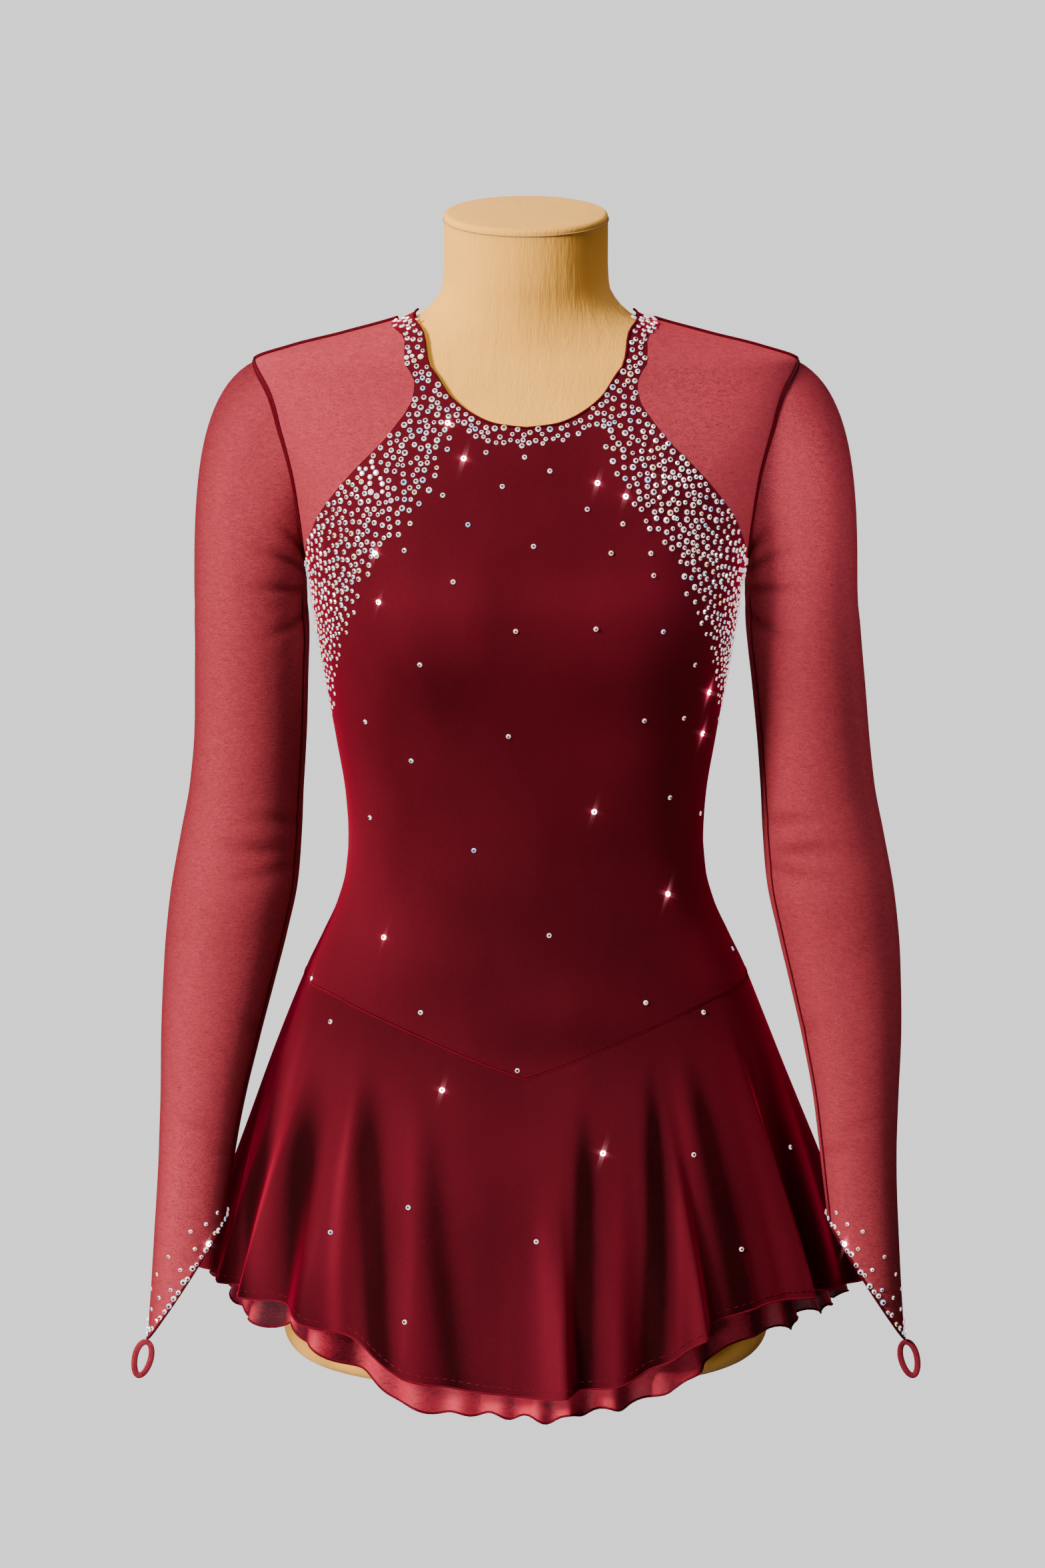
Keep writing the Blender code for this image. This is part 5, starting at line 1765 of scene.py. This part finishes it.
def cuff_places(side):
    places = []

    def put(turn, height, radius):
        point, out = sleeve_line(turn, height, 0.0, side)
        places.append((point + 0.0003 * out, out, radius))

    travelled = 0.0
    last = sleeve_point(0.0, cuff_height(0.0))
    for turn in round_angles(720)[1:] + [FULL_TURN]:
        here = sleeve_point(turn, cuff_height(turn))
        travelled += (here - last).length
        last = here
        if travelled > CUFF_STEP:
            travelled = 0.0
            rise = 0.0030 + chance.choice((0.0, 0.0006, 0.0026))
            put(turn, cuff_height(turn) + rise, chance.choice((0.0015, 0.0018, 0.0021)))
    for degrees, height in CUFF_LOOSE:
        turn = math.radians(degrees)
        if height > cuff_height(turn) + 0.007:
            put(turn, height, 0.0014)
    for degrees in (-16, -6, 5, 15):
        for rise in (0.008, 0.0125):
            turn = math.radians(degrees + chance.uniform(-2, 2))
            put(turn, CUFF_TIP_HEIGHT + rise + chance.uniform(-0.001, 0.001), 0.0016)
    put(math.radians(128), 0.108, STAR_RADIUS)
    return places


for word, side in SIDES:
    places = cuff_places(side)
    make_stones("stones_cuff_" + word, places[:-1], "stretch_mesh")
    make_stones("stones_star_cuff_" + word, places[-1:], "stretch_mesh", STAR)

# %% [markdown]
# ## A note on cut sizes
#
# Stretch cloth is cut smaller than the body and pulled on, so its cut is a little smaller
# than what it covers.

# %% [markdown]
# ## The studio
#
# A pale floor runs up into a pale wall with no corner. The camera sees them as one even grey,
# while the dress gets little light back from them, so that its folds keep their depth. A
# large soft light stands at the upper left in front, and weak ones stand elsewhere.

# %% Floor and backdrop
STAGE_GREY = 1.34
STAGE_SHADE = 0.18
FLOOR_RADIUS = 5.0
SWEEP_ROUND = 2.0
WALL_HEIGHT = 9.0


def stage_finish():
    made, tree, shader = start_material("studio_grey", 0.9, gloss=0.0)
    shader.inputs["Base Color"].default_value = (STAGE_SHADE, STAGE_SHADE, STAGE_SHADE, 1.0)
    glow = add_node(tree, "ShaderNodeEmission", Color=(STAGE_GREY, STAGE_GREY, STAGE_GREY, 1.0))
    seen = add_node(tree, "ShaderNodeLightPath").outputs["Is Camera Ray"]
    mix = add_node(tree, "ShaderNodeMixShader", add_math(tree, "MULTIPLY", seen, 0.95),
                   shader.outputs["BSDF"], glow.outputs["Emission"])
    tree.links.new(mix.outputs["Shader"], tree.nodes["Material Output"].inputs["Surface"])
    return made


def studio_sweep():
    """A round floor that bends up into a wall all round, far from the form."""
    profile = [(0.0, 0.0), (FLOOR_RADIUS / 2, 0.0), (FLOOR_RADIUS, 0.0)]
    for step in range(1, 13):
        turn = QUARTER * step / 12
        profile.append((FLOOR_RADIUS + SWEEP_ROUND * math.sin(turn),
                        SWEEP_ROUND * (1 - math.cos(turn))))
    profile.append((FLOOR_RADIUS + SWEEP_ROUND, WALL_HEIGHT))
    sheet = Sheet()
    rows = [[sheet.add((radius * math.sin(turn), -radius * math.cos(turn), height))
             for turn in round_angles(72)] for radius, height in profile]
    sheet.grid(rows[::-1], closed=True)
    made = make_mesh("studio_sweep", sheet.points, sheet.faces, stage_finish())
    print("stage faces:", len(made.data.polygons))


studio_sweep()
world = bpy.data.worlds.new("studio")
world.use_nodes = True
world.node_tree.nodes["Background"].inputs["Color"].default_value = (0.9, 0.92, 1.0, 1.0)
world.node_tree.nodes["Background"].inputs["Strength"].default_value = 0.10
bpy.context.scene.world = world


# %% Lights and camera
def put_in_scene(name, data, place, target):
    """Places a light or camera so that it looks at its target."""
    made = bpy.data.objects.new(name, data)
    bpy.context.scene.collection.objects.link(made)
    made.location = place
    made.rotation_euler = (Vector(target) - Vector(place)).to_track_quat("-Z", "Y").to_euler()
    return made


# Name, place, target, size, watts, beam in degrees, colour
LIGHTS = (
    ("key_light", (-2.2, -1.75, 1.9), (0.0, 0.0, 0.50), 0.8, 250.0, 180.0, (1.0, 0.97, 0.90)),
    ("top_light", (-0.5, -0.6, 3.0), (0.0, 0.0, 0.60), 0.9, 50.0, 180.0, (1.0, 1.0, 1.0)),
    ("low_fill", (-1.1, -2.3, 0.05), (-0.05, 0.0, 0.02), 0.3, 0.60, 12.0, (1.0, 1.0, 1.0)),
    ("shoulder_fill", (1.2, -2.0, 1.8), (0.16, -0.03, 0.62), 0.12, 0.10, 6.0, (1.0, 1.0, 1.0)),
    ("waist_fill", (1.4, -2.1, 0.60), (0.09, 0.0, 0.40), 0.4, 0.14, 14.0, (1.0, 1.0, 1.0)),
    ("left_rim", (-2.0, 0.9, 0.7), (0.0, 0.0, 0.35), 0.7, 20.0, 180.0, (1.0, 1.0, 1.0)),
    ("right_rim", (2.0, 0.9, 0.6), (0.0, 0.0, 0.44), 0.6, 0.9, 20.0, (1.0, 1.0, 1.0)),
)
for name, place, target, size, power, beam, colour in LIGHTS:
    light = bpy.data.lights.new(name, "AREA")
    light.shape = "DISK"
    light.size = size
    light.energy = power
    light.color = colour
    light.spread = math.radians(beam)
    put_in_scene(name, light, place, target)

camera_data = bpy.data.cameras.new("camera")
camera_data.lens = 77.34
camera_data.sensor_fit = "VERTICAL"
camera_data.sensor_height = 36.0
camera = put_in_scene("camera", camera_data, (-0.0024, -2.36354, 0.83625), (-0.0024, 0.0, 0.4195))
bpy.context.scene.camera = camera
print("camera at", tuple(camera.location))

# %% [markdown]
# ## Glints
#
# A few stones glow far brighter than the rest by emission, as painted glints. A glare node in
# the compositor draws a small star of streaks from what is far brighter than the rest, which
# only these star stones are.

# %% Star streaks round the brightest stones
# Angle in degrees, fade, strength
STREAKS = ((73, 0.84, 0.07), (-17, 0.70, 0.045))
bpy.context.scene.use_nodes = True
finishing = bpy.context.scene.node_tree
finishing.nodes.clear()
picture = add_node(finishing, "CompositorNodeRLayers").outputs["Image"]
for degrees, fade, strength in STREAKS:
    picture = add_node(finishing, "CompositorNodeGlare",
                       setting={"glare_type": "STREAKS", "quality": "HIGH"}, Image=picture,
                       Threshold=12.0, Strength=strength, Streaks=2,
                       Streaks_Angle=math.radians(degrees), Iterations=3, Fade=fade,
                       Color_Modulation=0.0, Tint=(1.0, 0.36, 0.44, 1.0)).outputs["Image"]
add_node(finishing, "CompositorNodeComposite", Image=picture)
print("compositor nodes:", len(finishing.nodes))

# %% [markdown]
# ## Finish
#
# The view layer is updated once more at the end.

# %% Update the view layer
bpy.context.view_layer.update()
